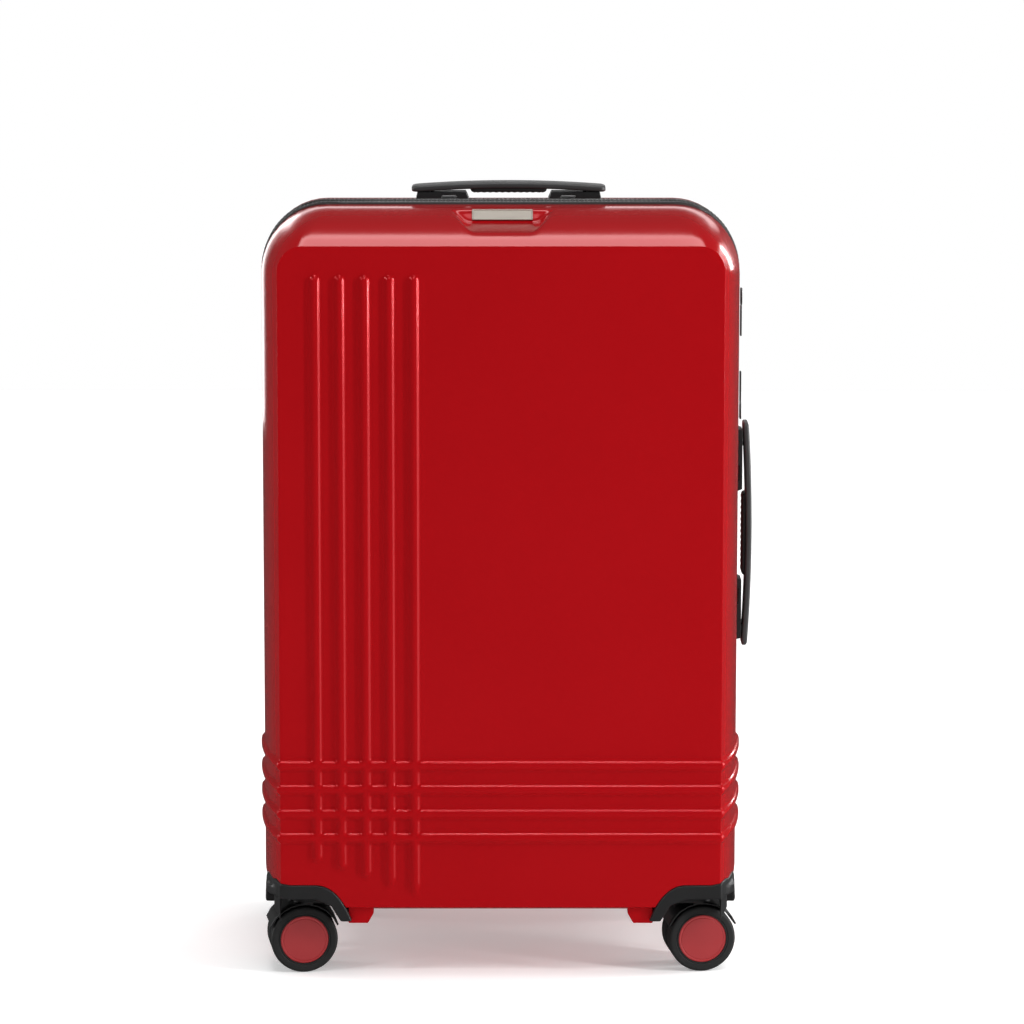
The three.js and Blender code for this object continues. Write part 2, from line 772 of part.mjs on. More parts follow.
/** The space that a caster sweeps as it swivels, as a solid round the swivel's axis. */
function sweptSpace() {
  const low = ARCH_FOOT - HOUSING.postDrop;
  const heights = [0, 0.25, 0.5, 0.75, 0.9, 1].map((share) => low + (DISC_BOTTOM - low) * share);
  const profile = [[0, -THROUGH]];
  profile.push([sweptRadius(low), -THROUGH]);
  for (const z of heights) profile.push([sweptRadius(z), z]);
  profile.push([CASTER.discRadius + HOUSING.runningGap, DISC_BOTTOM]);
  profile.push([CASTER.discRadius + HOUSING.runningGap, CEILING]);
  profile.push([0, CEILING]);
  const radii = profile.slice(1, -1);
  const tidy = radii.filter(([r, z], i) => i === 0 || r !== radii[i - 1][0] || z !== radii[i - 1][1]);
  return turned([profile[0], ...tidy, profile[profile.length - 1]], 28).translate([CASTER.x, CASTER.y, 0]);
}

/** A corner housing: an arched block with a post at its outer corner, for the corner at +X +Y. */
function casterHousing() {
  const far = [CASE.halfWidth + HOUSING.lip, CASE.halfDepth + HOUSING.lip, TOP];
  const arches = archRoom(-GAP).intersect(planPrism(HOUSING.lip)).intersect(box([0, 0, ARCH_FOOT], far));
  const block = arches.add(drumRoom(-GAP).intersect(box([0, 0, BOTTOM], far)));
  const inner = CROWN - HOUSING.rim;
  const opening = (outer) => {
    const foot = outer - HOUSING.archReach + 10;
    return [
      [foot, -THROUGH],
      [outer + THROUGH, -THROUGH],
      [outer + THROUGH, inner],
      [foot + 24, inner],
      [foot + 10, inner - 6],
      [foot, ARCH_FOOT - 2],
    ];
  };
  const across = extrudeAlongY(opening(CASE.halfWidth), 0, CASE.halfDepth + THROUGH);
  const along = extrudeAlongX(opening(CASE.halfDepth), 0, CASE.halfWidth + THROUGH);
  const arch = block.subtract(across.intersect(along));
  const corner = box(
    [CASE.halfWidth - HOUSING.post[0], CASE.halfDepth - HOUSING.post[1], ARCH_FOOT - HOUSING.postDrop],
    [CASE.halfWidth, CASE.halfDepth, inner + 2],
  );
  const skirt = corner.intersect(planPrism(-HOUSING.postIn));
  const boreTop = DISC_TOP + CASTER.pinLength + 0.5;
  const bore = cylinder("z", [CASTER.x, CASTER.y, boreTop - 10], CASTER.pinRadius + 0.15, 20);
  return arch.add(skirt).subtract(sweptSpace()).subtract(bore);
}

/** A caster's yoke, with its swivel axis at the origin and its wheels trailing towards +X. */
function casterYoke() {
  const disc = cylinder("z", [0, 0, (DISC_BOTTOM + DISC_TOP) / 2], CASTER.discRadius, CASTER.discThick);
  const pinMiddle = DISC_TOP + CASTER.pinLength / 2 - 0.5;
  const pin = cylinder("z", [0, 0, pinMiddle], CASTER.pinRadius, CASTER.pinLength + 1, 16);
  const width = CASTER.wheelSpacing + CASTER.wheelWidth;
  const arc = (radius, angles) =>
    angles.map((a) => [
      CASTER.trail + radius * Math.cos(a * DEG),
      CASTER.wheelRadius + radius * Math.sin(a * DEG),
    ]);
  const angles = Array.from({ length: 10 }, (_, i) => 22 + (136 * i) / 9);
  const underside = arc(FENDER_RADIUS - CASTER.fender, [...angles].reverse());
  const fenderOutline = [...arc(FENDER_RADIUS, angles), ...underside];
  const fender = extrudeAlongY(fenderOutline, -width / 2, width / 2);
  const webOutline = [
    [CASTER.trail + 7, CASTER.wheelRadius - 7],
    [CASTER.trail + 20, CASTER.wheelRadius + 20],
    [CASTER.trail + 10, DISC_BOTTOM + 1],
    [-CASTER.discRadius + 6, DISC_BOTTOM + 1],
    [CASTER.trail - 16, CASTER.wheelRadius + 20],
    [CASTER.trail - 7, CASTER.wheelRadius - 7],
  ];
  const web = extrudeAlongY(webOutline, -CASTER.web / 2, CASTER.web / 2);
  const bore = cylinder("y", [CASTER.trail, 0, CASTER.wheelRadius], CASTER.axleRadius + 0.2, width, 16);
  return join(disc, pin, fender, web).subtract(bore);
}

/** The axle of a wheel pair. */
function casterAxle() {
  const length = CASTER.wheelSpacing + CASTER.wheelWidth - 2 * CASTER.capThick - 3;
  return cylinder("y", [CASTER.trail, 0, CASTER.wheelRadius], CASTER.axleRadius, length, 16);
}

/** A wheel about its own middle, with its cap's recess towards +Z. */
function casterWheel() {
  const [R, half] = [CASTER.wheelRadius, CASTER.wheelWidth / 2];
  const recess = CASTER.capThick + GAP;
  return turned(
    [
      [CASTER.boreRadius, -half],
      [R - 3, -half],
      [R, -half + 3.5],
      [R, half - 3.5],
      [R - 3, half],
      [CASTER.capRadius + GAP, half],
      [CASTER.capRadius + GAP, half - recess],
      [CASTER.boreRadius, half - recess],
      [CASTER.boreRadius, -half],
    ],
    28,
  );
}

/** A hub cap about its own middle: a shallow disc that fits the wheel's recess. */
function hubCap() {
  const r = CASTER.capRadius;
  return turned(
    [
      [0, -CASTER.capThick / 2],
      [r, -CASTER.capThick / 2],
      [r, CASTER.capThick / 2 - 0.6],
      [0, CASTER.capThick / 2],
    ],
    24,
  );
}

// ---------------------------------------------------------------- the assembly

const suitcase = new THREE.Group();
suitcase.position.x = -MIDDLE_X;

/** A named mesh of a solid in one of the case's colours. */
function piece(parent, name, body, colour) {
  const [color, roughness, metalness] = COLOURS[colour];
  const material = new THREE.MeshStandardMaterial({ color, roughness, metalness });
  const mesh = new THREE.Mesh(geometryOf(body), material);
  mesh.name = name;
  parent.add(mesh);
  return mesh;
}

for (const [half, facing] of [["front", -1], ["back", 1]]) {
  piece(suitcase, `${half}_shell`, shell(facing), "shell");
  piece(suitcase, `${half}_zip_tape`, zipTape(facing), "zip");
  piece(suitcase, `${half}_lining`, lining(facing), "lining");
}

const plate = piece(
  suitcase,
  "name_plate",
  box([-PLATE.length / 2, -PLATE.height / 2, 0], [PLATE.length / 2, PLATE.height / 2, PLATE.thick]),
  "metal",
);
plate.rotation.x = PLATE_TILT;
plate.position.set(
  PLATE.x,
  (SCOOP.back + SCOOP.floorBack) / 2 - Math.sin(PLATE_TILT) * (GAP + 0.1),
  TOP - SCOOP.depth / 2 + Math.cos(PLATE_TILT) * (GAP + 0.1),
);

/** A carry handle as a group: its grip and two brackets. */
function carryHandle(name, sizes, ends) {
  const group = new THREE.Group();
  piece(group, `${name}_grip`, handleGrip(sizes), "grip");
  piece(group, `${name}_bracket_${ends[0]}`, handleBracket(sizes, -1), "black");
  piece(group, `${name}_bracket_${ends[1]}`, handleBracket(sizes, 1), "black");
  suitcase.add(group);
  return group;
}

const topHandle = carryHandle("top_handle", TOP_HANDLE, ["left", "right"]);
topHandle.position.set(TOP_HANDLE.centre, HANDLE.y, TOP);
const sideHandle = carryHandle("side_handle", SIDE_HANDLE, ["upper", "lower"]);
sideHandle.rotation.y = Math.PI / 2;
sideHandle.position.set(CASE.halfWidth, HANDLE.y, BOTTOM + SIDE_HANDLE.aboveBottom);

for (const [name, side] of [["left", -1], ["right", 1]]) {
  const midFoot = TUBE_FOOT + TROLLEY.stagger;
  const outerTop = BEZEL_BOTTOM - GAP;
  piece(suitcase, `trolley_outer_tube_${name}`, tube(TROLLEY.outer, side, TUBE_FOOT, outerTop), "tube");
  piece(suitcase, `trolley_mid_tube_${name}`, tube(MID_TUBE, side, midFoot, POCKET_FLOOR - GAP), "tube");
  piece(
    suitcase,
    `trolley_inner_tube_${name}`,
    tube(INNER_TUBE, side, midFoot + TROLLEY.stagger, GRIP_TOP - TROLLEY.gripHeight - GAP),
    "tube",
  );
}
piece(suitcase, "trolley_grip", trolleyGrip(), "black");
piece(suitcase, "trolley_button", trolleyButton(), "grip");
piece(suitcase, "trolley_bezel", trolleyBezel(), "black");
piece(suitcase, "trolley_base", trolleyBase(), "black");

piece(suitcase, "lock_body", lockBody(), "black");
for (let i = 0; i < LOCK.dials; i++) piece(suitcase, `lock_dial_${i + 1}`, lockDial(i), "metal");
piece(suitcase, "lock_release", lockRelease(), "metal");

const pulls = [
  ["upper", LOCK_LOW + LOCK.height + SLIDER.fromLock, 1],
  ["lower", LOCK_LOW - SLIDER.fromLock, -1],
];
for (const [name, z, away] of pulls) {
  const pull = new THREE.Group();
  pull.position.set(TAPE_FACE + GAP, 0, z);
  pull.rotation.set(0, Math.PI / 2, away > 0 ? 0 : Math.PI); // local +X points at the lock, +Z outward
  piece(pull, `zip_slider_${name}`, zipSlider(), "metal");
  const puller = piece(pull, `zip_puller_${name}`, zipPuller(), "metal");
  puller.position.set(SLIDER.length / 2 + PULLER.from, 0, 0);
  suitcase.add(pull);
}

const corners = [
  ["front_left", -1, -1],
  ["front_right", 1, -1],
  ["back_left", -1, 1],
  ["back_right", 1, 1],
];
for (const [name, signX, signY] of corners) {
  piece(suitcase, `caster_housing_${name}`, toCorner(casterHousing(), signX, signY), "black");
  const caster = new THREE.Group();
  const yaw = signY < 0 ? CASTER.frontYaw : CASTER.backYaw;
  caster.position.set(signX * CASTER.x, signY * CASTER.y, 0);
  caster.rotation.z = yaw * DEG + (signX < 0 ? Math.PI : 0);
  piece(caster, `caster_yoke_${name}`, casterYoke(), "black");
  piece(caster, `caster_axle_${name}`, casterAxle(), "metal");
  for (const [label, side] of [["a", -1], ["b", 1]]) {
    const wheel = new THREE.Group();
    wheel.position.set(CASTER.trail, (side * CASTER.wheelSpacing) / 2, CASTER.wheelRadius);
    wheel.rotation.x = (-side * Math.PI) / 2; // local +Z points outward
    piece(wheel, `caster_wheel_${name}_${label}`, casterWheel(), "tyre");
    const cap = piece(wheel, `hub_cap_${name}_${label}`, hubCap(), "cap");
    cap.position.z = (CASTER.wheelWidth - CASTER.capThick) / 2 - 0.1;
    caster.add(wheel);
  }
  suitcase.add(caster);
}

export default suitcase;
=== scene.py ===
"""Hard shell spinner suitcase: the visible surfaces, finishes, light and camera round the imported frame."""

import json
import logging
import math
from dataclasses import dataclass
from enum import Enum
from typing import Callable, Iterable, Optional, Sequence

import bmesh
import bpy
import numpy as np
from mathutils import Matrix, Vector


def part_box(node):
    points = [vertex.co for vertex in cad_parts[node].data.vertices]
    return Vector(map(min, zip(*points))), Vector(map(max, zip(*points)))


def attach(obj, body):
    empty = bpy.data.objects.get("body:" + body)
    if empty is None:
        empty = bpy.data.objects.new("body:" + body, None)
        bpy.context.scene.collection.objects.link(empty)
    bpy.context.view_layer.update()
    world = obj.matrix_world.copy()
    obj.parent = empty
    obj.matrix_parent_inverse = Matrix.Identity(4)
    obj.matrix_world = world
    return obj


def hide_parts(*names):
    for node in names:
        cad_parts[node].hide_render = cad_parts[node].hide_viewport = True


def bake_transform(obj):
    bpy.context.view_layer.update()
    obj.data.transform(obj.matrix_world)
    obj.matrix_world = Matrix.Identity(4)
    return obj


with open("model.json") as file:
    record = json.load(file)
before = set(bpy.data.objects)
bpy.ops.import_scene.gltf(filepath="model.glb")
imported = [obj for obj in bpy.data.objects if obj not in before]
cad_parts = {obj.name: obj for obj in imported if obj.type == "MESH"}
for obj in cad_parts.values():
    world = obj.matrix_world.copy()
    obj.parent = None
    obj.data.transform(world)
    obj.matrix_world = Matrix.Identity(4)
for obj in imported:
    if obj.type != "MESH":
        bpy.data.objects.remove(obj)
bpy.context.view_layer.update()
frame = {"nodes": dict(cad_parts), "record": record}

log = logging.getLogger("suitcase")

MM = 0.001
LEAST_TURN = 30.0  # degrees: edges that turn by less are not rounded
NODES: dict[str, bpy.types.Object] = frame["nodes"]
BODY_OF: dict[str, str] = {
    node: body for body, nodes in frame["record"]["behaviour"]["bodies"].items() for node in nodes
}


class Half(Enum):
    """Which half of the case a piece belongs to; the value is the sign of its Y side."""

    FRONT = -1
    BACK = 1

    @property
    def word(self) -> str:
        """The half's name as the nodes spell it."""
        return self.name.lower()

    @property
    def body(self) -> str:
        """The moving body of this half."""
        return f"{self.word}_half"


# ------------------------------------------------------------------ mesh helpers


def link(name: str, data: bpy.types.ID) -> bpy.types.Object:
    """Puts a mesh or curve into the scene as an object at the origin.

    Args:
        name: The piece's name.
        data: Its mesh or curve.

    Returns:
        The new object.
    """
    obj = bpy.data.objects.new(name, data)
    bpy.context.scene.collection.objects.link(obj)
    return obj


def mesh_object(name: str, vertices: Sequence, faces: Sequence) -> bpy.types.Object:
    """Makes an object from vertices in metres and faces.

    Args:
        name: The piece's name.
        vertices: Points in metres.
        faces: Vertex indices of each face.

    Returns:
        The new object.
    """
    mesh = bpy.data.meshes.new(name)
    mesh.from_pydata([tuple(v) for v in vertices], [], [tuple(f) for f in faces])
    mesh.validate()
    return link(name, mesh)


def tidy_mesh(mesh: bpy.types.Mesh, merge: float = 1e-6) -> None:
    """Merges doubled points and points every face outwards.

    Args:
        mesh: The mesh to change.
        merge: The distance within which points are one, in metres.
    """
    work = bmesh.new()
    work.from_mesh(mesh)
    bmesh.ops.remove_doubles(work, verts=work.verts, dist=merge)
    bmesh.ops.recalc_face_normals(work, faces=work.faces)
    work.to_mesh(mesh)
    work.free()


def shade(obj: bpy.types.Object, sharp_degrees: float = 35.0) -> None:
    """Shades a mesh smooth, with an edge kept wherever its faces turn by more than an angle.

    Args:
        obj: The mesh object.
        sharp_degrees: The angle above which an edge stays sharp.
    """
    obj.data.polygons.foreach_set("use_smooth", [True] * len(obj.data.polygons))
    obj.data.set_sharp_from_angle(angle=math.radians(sharp_degrees))


def bake_modifiers(obj: bpy.types.Object) -> bpy.types.Object:
    """Turns an object with modifiers into a plain mesh of the same name.

    Args:
        obj: A mesh or curve object.

    Returns:
        The object that holds the plain mesh.
    """
    depsgraph = bpy.context.evaluated_depsgraph_get()
    evaluated = obj.evaluated_get(depsgraph)
    mesh = bpy.data.meshes.new_from_object(evaluated, preserve_all_data_layers=True, depsgraph=depsgraph)
    name = obj.name
    bpy.data.objects.remove(obj)
    mesh.name = name
    return link(name, mesh)


def joined(name: str, objects: Sequence[bpy.types.Object]) -> bpy.types.Object:
    """Makes one mesh object out of several plain ones.

    Args:
        name: The name of the result.
        objects: Mesh objects at the origin, which are used up.

    Returns:
        The joined object.
    """
    work = bmesh.new()
    for obj in objects:
        work.from_mesh(obj.data)
        bpy.data.objects.remove(obj)
    mesh = bpy.data.meshes.new(name)
    work.to_mesh(mesh)
    work.free()
    return link(name, mesh)


def cut(obj: bpy.types.Object, cutter: bpy.types.Object, operation: str = "DIFFERENCE") -> bpy.types.Object:
    """Cuts, joins or intersects two closed solids; the cutter is used up.

    Args:
        obj: The solid that stays.
        cutter: The other solid.
        operation: DIFFERENCE, UNION or INTERSECT.

    Returns:
        The object that holds the result.
    """
    step = obj.modifiers.new("cut", "BOOLEAN")
    step.operation, step.object, step.solver = operation, cutter, "MANIFOLD"
    result = bake_modifiers(obj)
    bpy.data.objects.remove(cutter)
    return result


def prism(
    name: str, outline: Sequence[tuple[float, float]], axis: str, low: float, high: float
) -> bpy.types.Object:
    """Pushes a closed outline along an axis.

    Args:
        name: The object's name.
        outline: Points in the plane across the axis, in X, Y, Z order, in metres.
        axis: The axis it is pushed along: "x", "y" or "z".
        low: Where it starts.
        high: Where it ends.

    Returns:
        A closed solid.
    """
    place = {
        "x": lambda a, b, c: (c, a, b),
        "y": lambda a, b, c: (a, c, b),
        "z": lambda a, b, c: (a, b, c),
    }[axis]
    count = len(outline)
    vertices = [place(a, b, c) for c in (low, high) for a, b in outline]
    faces = [list(range(count)), list(range(count, 2 * count))]
    faces += [[i, (i + 1) % count, count + (i + 1) % count, count + i] for i in range(count)]
    obj = mesh_object(name, vertices, faces)
    tidy_mesh(obj.data)
    return obj


def rounded(obj: bpy.types.Object, width: float, segments: int = 3) -> bpy.types.Object:
    """Rounds a solid's edges.

    Args:
        obj: The solid.
        width: The rounding's width in metres.
        segments: Steps across each rounding.

    Returns:
        The object that holds the rounded mesh.
    """
    bevel = obj.modifiers.new("round", "BEVEL")
    bevel.width, bevel.segments = width, segments
    bevel.limit_method, bevel.angle_limit = "ANGLE", math.radians(LEAST_TURN)
    bevel.use_clamp_overlap = True
    result = bake_modifiers(obj)
    shade(result, 50)
    return result


def lathe(name: str, profile: Sequence[tuple[float, float]], steps: int, place: Matrix) -> bpy.types.Object:
    """Turns a closed profile about Z and places it.

    Args:
        name: The object's name.
        profile: [radius, height] points in metres; it starts and ends on the axis or closes on itself.
        steps: Steps round the axis.
        place: Where the result goes.

    Returns:
        A closed solid in its place.
    """
    vertices, faces = [], []
    count = len(profile)
    for i in range(steps):
        turn = 2 * math.pi * i / steps
        vertices += [place @ Vector((r * math.cos(turn), r * math.sin(turn), z)) for r, z in profile]
    closed = profile[0][0] > 0
    for i in range(steps):
        for k in range(count if closed else count - 1):
            a, b = i * count + k, i * count + (k + 1) % count
            c, d = ((i + 1) % steps) * count + (k + 1) % count, ((i + 1) % steps) * count + k
            faces.append((a, b, c, d))
    obj = mesh_object(name, vertices, faces)
    tidy_mesh(obj.data, 1e-7)
    shade(obj, 40)
    return obj


def softened(node: str, voxel: float, rounds: int) -> bpy.types.Object:
    """Copies a CAD node and gives it a moulded piece's rounded edges.

    Args:
        node: The CAD node.
        voxel: The size of the new mesh's cells, in metres.
        rounds: How often the edges are smoothed.

    Returns:
        The rounded copy.
    """
    mesh = NODES[node].data.copy()
    mesh.materials.clear()
    obj = link(f"{node}_moulded", mesh)
    tidy_mesh(mesh)
    remesh = obj.modifiers.new("fuse", "REMESH")
    remesh.mode, remesh.voxel_size = "VOXEL", voxel
    smooth = obj.modifiers.new("smooth", "SMOOTH")
    smooth.factor, smooth.iterations = 0.5, rounds
    result = bake_modifiers(obj)
    shade(result, 60)
    return result


def dress(
    obj: bpy.types.Object,
    material: bpy.types.Material,
    body: str,
    replaces: Iterable[str] = (),
) -> bpy.types.Object:
    """Gives a finished piece its material and its body, and hides the CAD nodes that it stands for.

    Args:
        obj: The finished piece.
        material: Its material.
        body: The moving body that it rides on.
        replaces: CAD nodes that it stands for.

    Returns:
        The piece.
    """
    obj.data.materials.clear()
    obj.data.materials.append(material)
    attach(obj, body)
    for node in replaces:
        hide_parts(node)
    log.info("%s: %d faces on %s", obj.name, len(obj.data.polygons), body)
    return obj


# ------------------------------------------------------------------ node helpers


class Wiring:
    """A small hand for building node trees: makes nodes, sets their inputs and joins them."""

    def __init__(self, tree: bpy.types.NodeTree) -> None:
        """Keeps the tree."""
        self.tree = tree

    def node(self, kind: str, inputs: Optional[dict] = None, **settings) -> bpy.types.Node:
        """Adds a node.

        Args:
            kind: The node's type name.
            inputs: Values or output sockets for its inputs, by name or place.
            **settings: Attributes set on the node first.

        Returns:
            The node.
        """
        made = self.tree.nodes.new(kind)
        for key, value in settings.items():
            setattr(made, key, value)
        for key, value in (inputs or {}).items():
            if isinstance(value, bpy.types.NodeSocket):
                self.tree.links.new(value, made.inputs[key])
            else:
                made.inputs[key].default_value = value
        return made

    def math(self, operation: str, a, b=0.0) -> bpy.types.NodeSocket:
        """Adds a maths node and returns its output."""
        return self.node("ShaderNodeMath", {0: a, 1: b}, operation=operation).outputs[0]


def shader_group(
    name: str, inputs: dict[str, float], outputs: Sequence[str], build: Callable
) -> bpy.types.NodeTree:
    """Builds a shader node group once.

    Args:
        name: The group's name.
        inputs: Its number inputs with their defaults; a Vector input is always added.
        outputs: Names of its number outputs.
        build: Called with the wiring, the input node and the output node.

    Returns:
        The group.
    """
    if name in bpy.data.node_groups:
        return bpy.data.node_groups[name]
    tree = bpy.data.node_groups.new(name, "ShaderNodeTree")
    tree.interface.new_socket("Vector", in_out="INPUT", socket_type="NodeSocketVector")
    for key, value in inputs.items():
        socket = tree.interface.new_socket(key, in_out="INPUT", socket_type="NodeSocketFloat")
        socket.default_value = value
    for key in outputs:
        tree.interface.new_socket(key, in_out="OUTPUT", socket_type="NodeSocketFloat")
    wiring = Wiring(tree)
    build(wiring, tree.nodes.new("NodeGroupInput"), tree.nodes.new("NodeGroupOutput"))
    return tree


def grain_group() -> bpy.types.NodeTree:
    """The fine spark-eroded grain of moulded plastic: a height and a slow mottle."""

    def build(w: Wiring, source: bpy.types.Node, out: bpy.types.Node) -> None:
        """Wires the group."""
        place, scale = source.outputs["Vector"], source.outputs["Scale"]
        cells = w.node(
            "ShaderNodeTexVoronoi", {"Vector": place, "Scale": scale, "Randomness": 1.0}, feature="SMOOTH_F1"
        )
        fine = w.node("ShaderNodeTexNoise", {"Vector": place, "Scale": scale, "Detail": 3.0})
        slow_scale = w.math("MULTIPLY", scale, 0.02)
        slow = w.node("ShaderNodeTexNoise", {"Vector": place, "Scale": slow_scale, "Detail": 4.0})
        w.tree.links.new(w.math("ADD", cells.outputs["Distance"], fine.outputs["Fac"]), out.inputs["Height"])
        w.tree.links.new(slow.outputs["Fac"], out.inputs["Mottle"])

    return shader_group("moulded_grain", {"Scale": 1800.0}, ["Height", "Mottle"], build)


def weave_group() -> bpy.types.NodeTree:
    """A plain weave: threads over and under in two directions."""

    def build(w: Wiring, source: bpy.types.Node, out: bpy.types.Node) -> None:
        """Wires the group."""
        split = w.node("ShaderNodeSeparateXYZ", {0: source.outputs["Vector"]})
        waves = []
        for along, across in (("X", "Z"), ("Z", "X")):
            run = w.math("SINE", w.math("MULTIPLY", split.outputs[along], source.outputs["Threads"]))
            side = w.math("SINE", w.math("MULTIPLY", split.outputs[across], source.outputs["Threads"]))
            waves.append(w.math("MULTIPLY", w.math("ABSOLUTE", run), w.math("GREATER_THAN", side, 0.0)))
        place = source.outputs["Vector"]
        fuzz = w.node("ShaderNodeTexNoise", {"Vector": place, "Scale": 900.0, "Detail": 2.0})
        threads = w.math("MAXIMUM", waves[0], waves[1])
        height = w.math("ADD", threads, w.math("MULTIPLY", fuzz.outputs["Fac"], 0.4))
        w.tree.links.new(height, out.inputs["Height"])
        w.tree.links.new(fuzz.outputs["Fac"], out.inputs["Fuzz"])

    return shader_group("plain_weave", {"Threads": 4200.0}, ["Height", "Fuzz"], build)


def brushed_group() -> bpy.types.NodeTree:
    """Fine parallel brush lines along X, with slow streaks."""

    def build(w: Wiring, source: bpy.types.Node, out: bpy.types.Node) -> None:
        """Wires the group."""
        place = source.outputs["Vector"]
        stretch = w.node("ShaderNodeMapping", {"Vector": place, "Scale": (30.0, 2600.0, 2600.0)})
        lines = w.node("ShaderNodeTexNoise", {"Vector": stretch.outputs[0], "Scale": 1.0, "Detail": 2.0})
        slow = w.node("ShaderNodeTexNoise", {"Vector": place, "Scale": 60.0, "Detail": 3.0})
        w.tree.links.new(lines.outputs["Fac"], out.inputs["Lines"])
        w.tree.links.new(slow.outputs["Fac"], out.inputs["Streaks"])

    return shader_group("brushed_lines", {}, ["Lines", "Streaks"], build)


def wear_group() -> bpy.types.NodeTree:
    """Handling marks: a sparse scatter of fine scratches."""

    def build(w: Wiring, source: bpy.types.Node, out: bpy.types.Node) -> None:
        """Wires the group."""
        place = source.outputs["Vector"]
        warp = w.node("ShaderNodeTexNoise", {"Vector": place, "Scale": 9.0, "Detail": 2.0})
        bent = w.node("ShaderNodeVectorMath", {0: place, 1: warp.outputs["Color"]}, operation="ADD")
        cells = w.node(
            "ShaderNodeTexVoronoi",
            {"Vector": bent.outputs[0], "Scale": source.outputs["Scratch Scale"]},
            feature="DISTANCE_TO_EDGE",
        )
        thin = w.math("LESS_THAN", cells.outputs["Distance"], 0.004)
        patches = w.node("ShaderNodeTexNoise", {"Vector": place, "Scale": 14.0, "Detail": 3.0})
        kept = w.math("GREATER_THAN", patches.outputs["Fac"], 0.62)
        w.tree.links.new(w.math("MULTIPLY", thin, kept), out.inputs["Scratches"])

    return shader_group("handling_marks", {"Scratch Scale": 30.0}, ["Scratches"], build)


def new_material(name: str) -> tuple[bpy.types.Material, Wiring, bpy.types.Node, bpy.types.NodeSocket]:
    """Starts a material.

    Args:
        name: The material's name.

    Returns:
        The material, its wiring, its Principled shader and the object coordinates.
    """
    material = bpy.data.materials.new(name)
    material.use_nodes = True
    wiring = Wiring(material.node_tree)
    shader = next(n for n in material.node_tree.nodes if n.type == "BSDF_PRINCIPLED")
    coordinates = wiring.node("ShaderNodeTexCoord").outputs["Object"]
    return material, wiring, shader, coordinates


def place_group(
    w: Wiring, tree: bpy.types.NodeTree, vector: bpy.types.NodeSocket, **inputs: float
) -> bpy.types.Node:
    """Puts a shader group into a material with its own values."""
    node = w.node("ShaderNodeGroup", node_tree=tree)
    w.tree.links.new(vector, node.inputs["Vector"])
    for key, value in inputs.items():
        node.inputs[key.replace("_", " ")].default_value = value
    return node


def ramp(w: Wiring, value: bpy.types.NodeSocket, low: float, high: float) -> bpy.types.NodeSocket:
    """Maps a 0 to 1 value onto a range."""
    return w.node("ShaderNodeMapRange", {"Value": value, "To Min": low, "To Max": high}).outputs["Result"]


def tint(
    w: Wiring, value: bpy.types.NodeSocket, low: Sequence[float], high: Sequence[float]
) -> bpy.types.NodeSocket:
    """Mixes two colours by a 0 to 1 value."""
    mix = w.node("ShaderNodeMix", data_type="RGBA")
    w.tree.links.new(value, mix.inputs["Factor"])
    mix.inputs["A"].default_value = (*low, 1.0)
    mix.inputs["B"].default_value = (*high, 1.0)
    return mix.outputs["Result"]


def bump(
    w: Wiring, shader: bpy.types.Node, height: bpy.types.NodeSocket, strength: float, distance: float
) -> None:
    """Feeds a height into the shader's normal."""
    node = w.node("ShaderNodeBump", {"Height": height, "Strength": strength, "Distance": distance})
    w.tree.links.new(node.outputs["Normal"], shader.inputs["Normal"])


# ------------------------------------------------------------------ finishes


@dataclass(frozen=True)
class GlossShell:
    """High gloss moulded polycarbonate with a clear hard surface."""

    name: str = "gloss_red_polycarbonate"
    colour: tuple[float, float, float] = (0.37, 0.0036, 0.0062)
    deep: tuple[float, float, float] = (0.34, 0.0032, 0.0056)
    roughness: float = 0.16
    specular: float = 0.85
    specular_tint: tuple[float, float, float] = (1.0, 0.12, 0.14)
    coat: float = 0.12
    coat_roughness: float = 0.05
    coat_tint: tuple[float, float, float] = (1.0, 0.8, 0.8)

    def build(self) -> bpy.types.Material:
        """Makes the material."""
        material, w, shader, place = new_material(self.name)
        grain = place_group(w, grain_group(), place, Scale=420.0)
        marks = place_group(w, wear_group(), place, Scratch_Scale=26.0)
        mottle = grain.outputs["Mottle"]
        w.tree.links.new(tint(w, mottle, self.deep, self.colour), shader.inputs["Base Color"])
        rough = w.math("ADD", ramp(w, mottle, self.roughness - 0.02, self.roughness + 0.03),
                       w.math("MULTIPLY", marks.outputs["Scratches"], 0.1))
        w.tree.links.new(rough, shader.inputs["Roughness"])
        shader.inputs["Specular IOR Level"].default_value = self.specular
        shader.inputs["Specular Tint"].default_value = (*self.specular_tint, 1.0)
        shader.inputs["Coat Weight"].default_value = self.coat
        shader.inputs["Coat Roughness"].default_value = self.coat_roughness
        shader.inputs["Coat Tint"].default_value = (*self.coat_tint, 1.0)
        bump(w, shader, grain.outputs["Height"], 0.04, 0.0002)
        return material


@dataclass(frozen=True)
class GrainedPlastic:
    """Moulded plastic with a fine grain, used black, dark grey and satin red."""

    name: str
    colour: tuple[float, float, float]
    lift: float = 1.35
    roughness: float = 0.5
    grain: float = 1800.0
    depth: float = 0.2

    def build(self) -> bpy.types.Material:
        """Makes the material."""
        material, w, shader, place = new_material(self.name)
        grain = place_group(w, grain_group(), place, Scale=self.grain)
        marks = place_group(w, wear_group(), place, Scratch_Scale=40.0)
        light, mottle = tuple(min(1.0, c * self.lift) for c in self.colour), grain.outputs["Mottle"]
        w.tree.links.new(tint(w, mottle, self.colour, light), shader.inputs["Base Color"])
        rough = w.math("ADD", ramp(w, mottle, self.roughness - 0.06, self.roughness + 0.06),
                       w.math("MULTIPLY", marks.outputs["Scratches"], 0.15))
        w.tree.links.new(rough, shader.inputs["Roughness"])
        bump(w, shader, grain.outputs["Height"], self.depth, 0.0002)
        return material


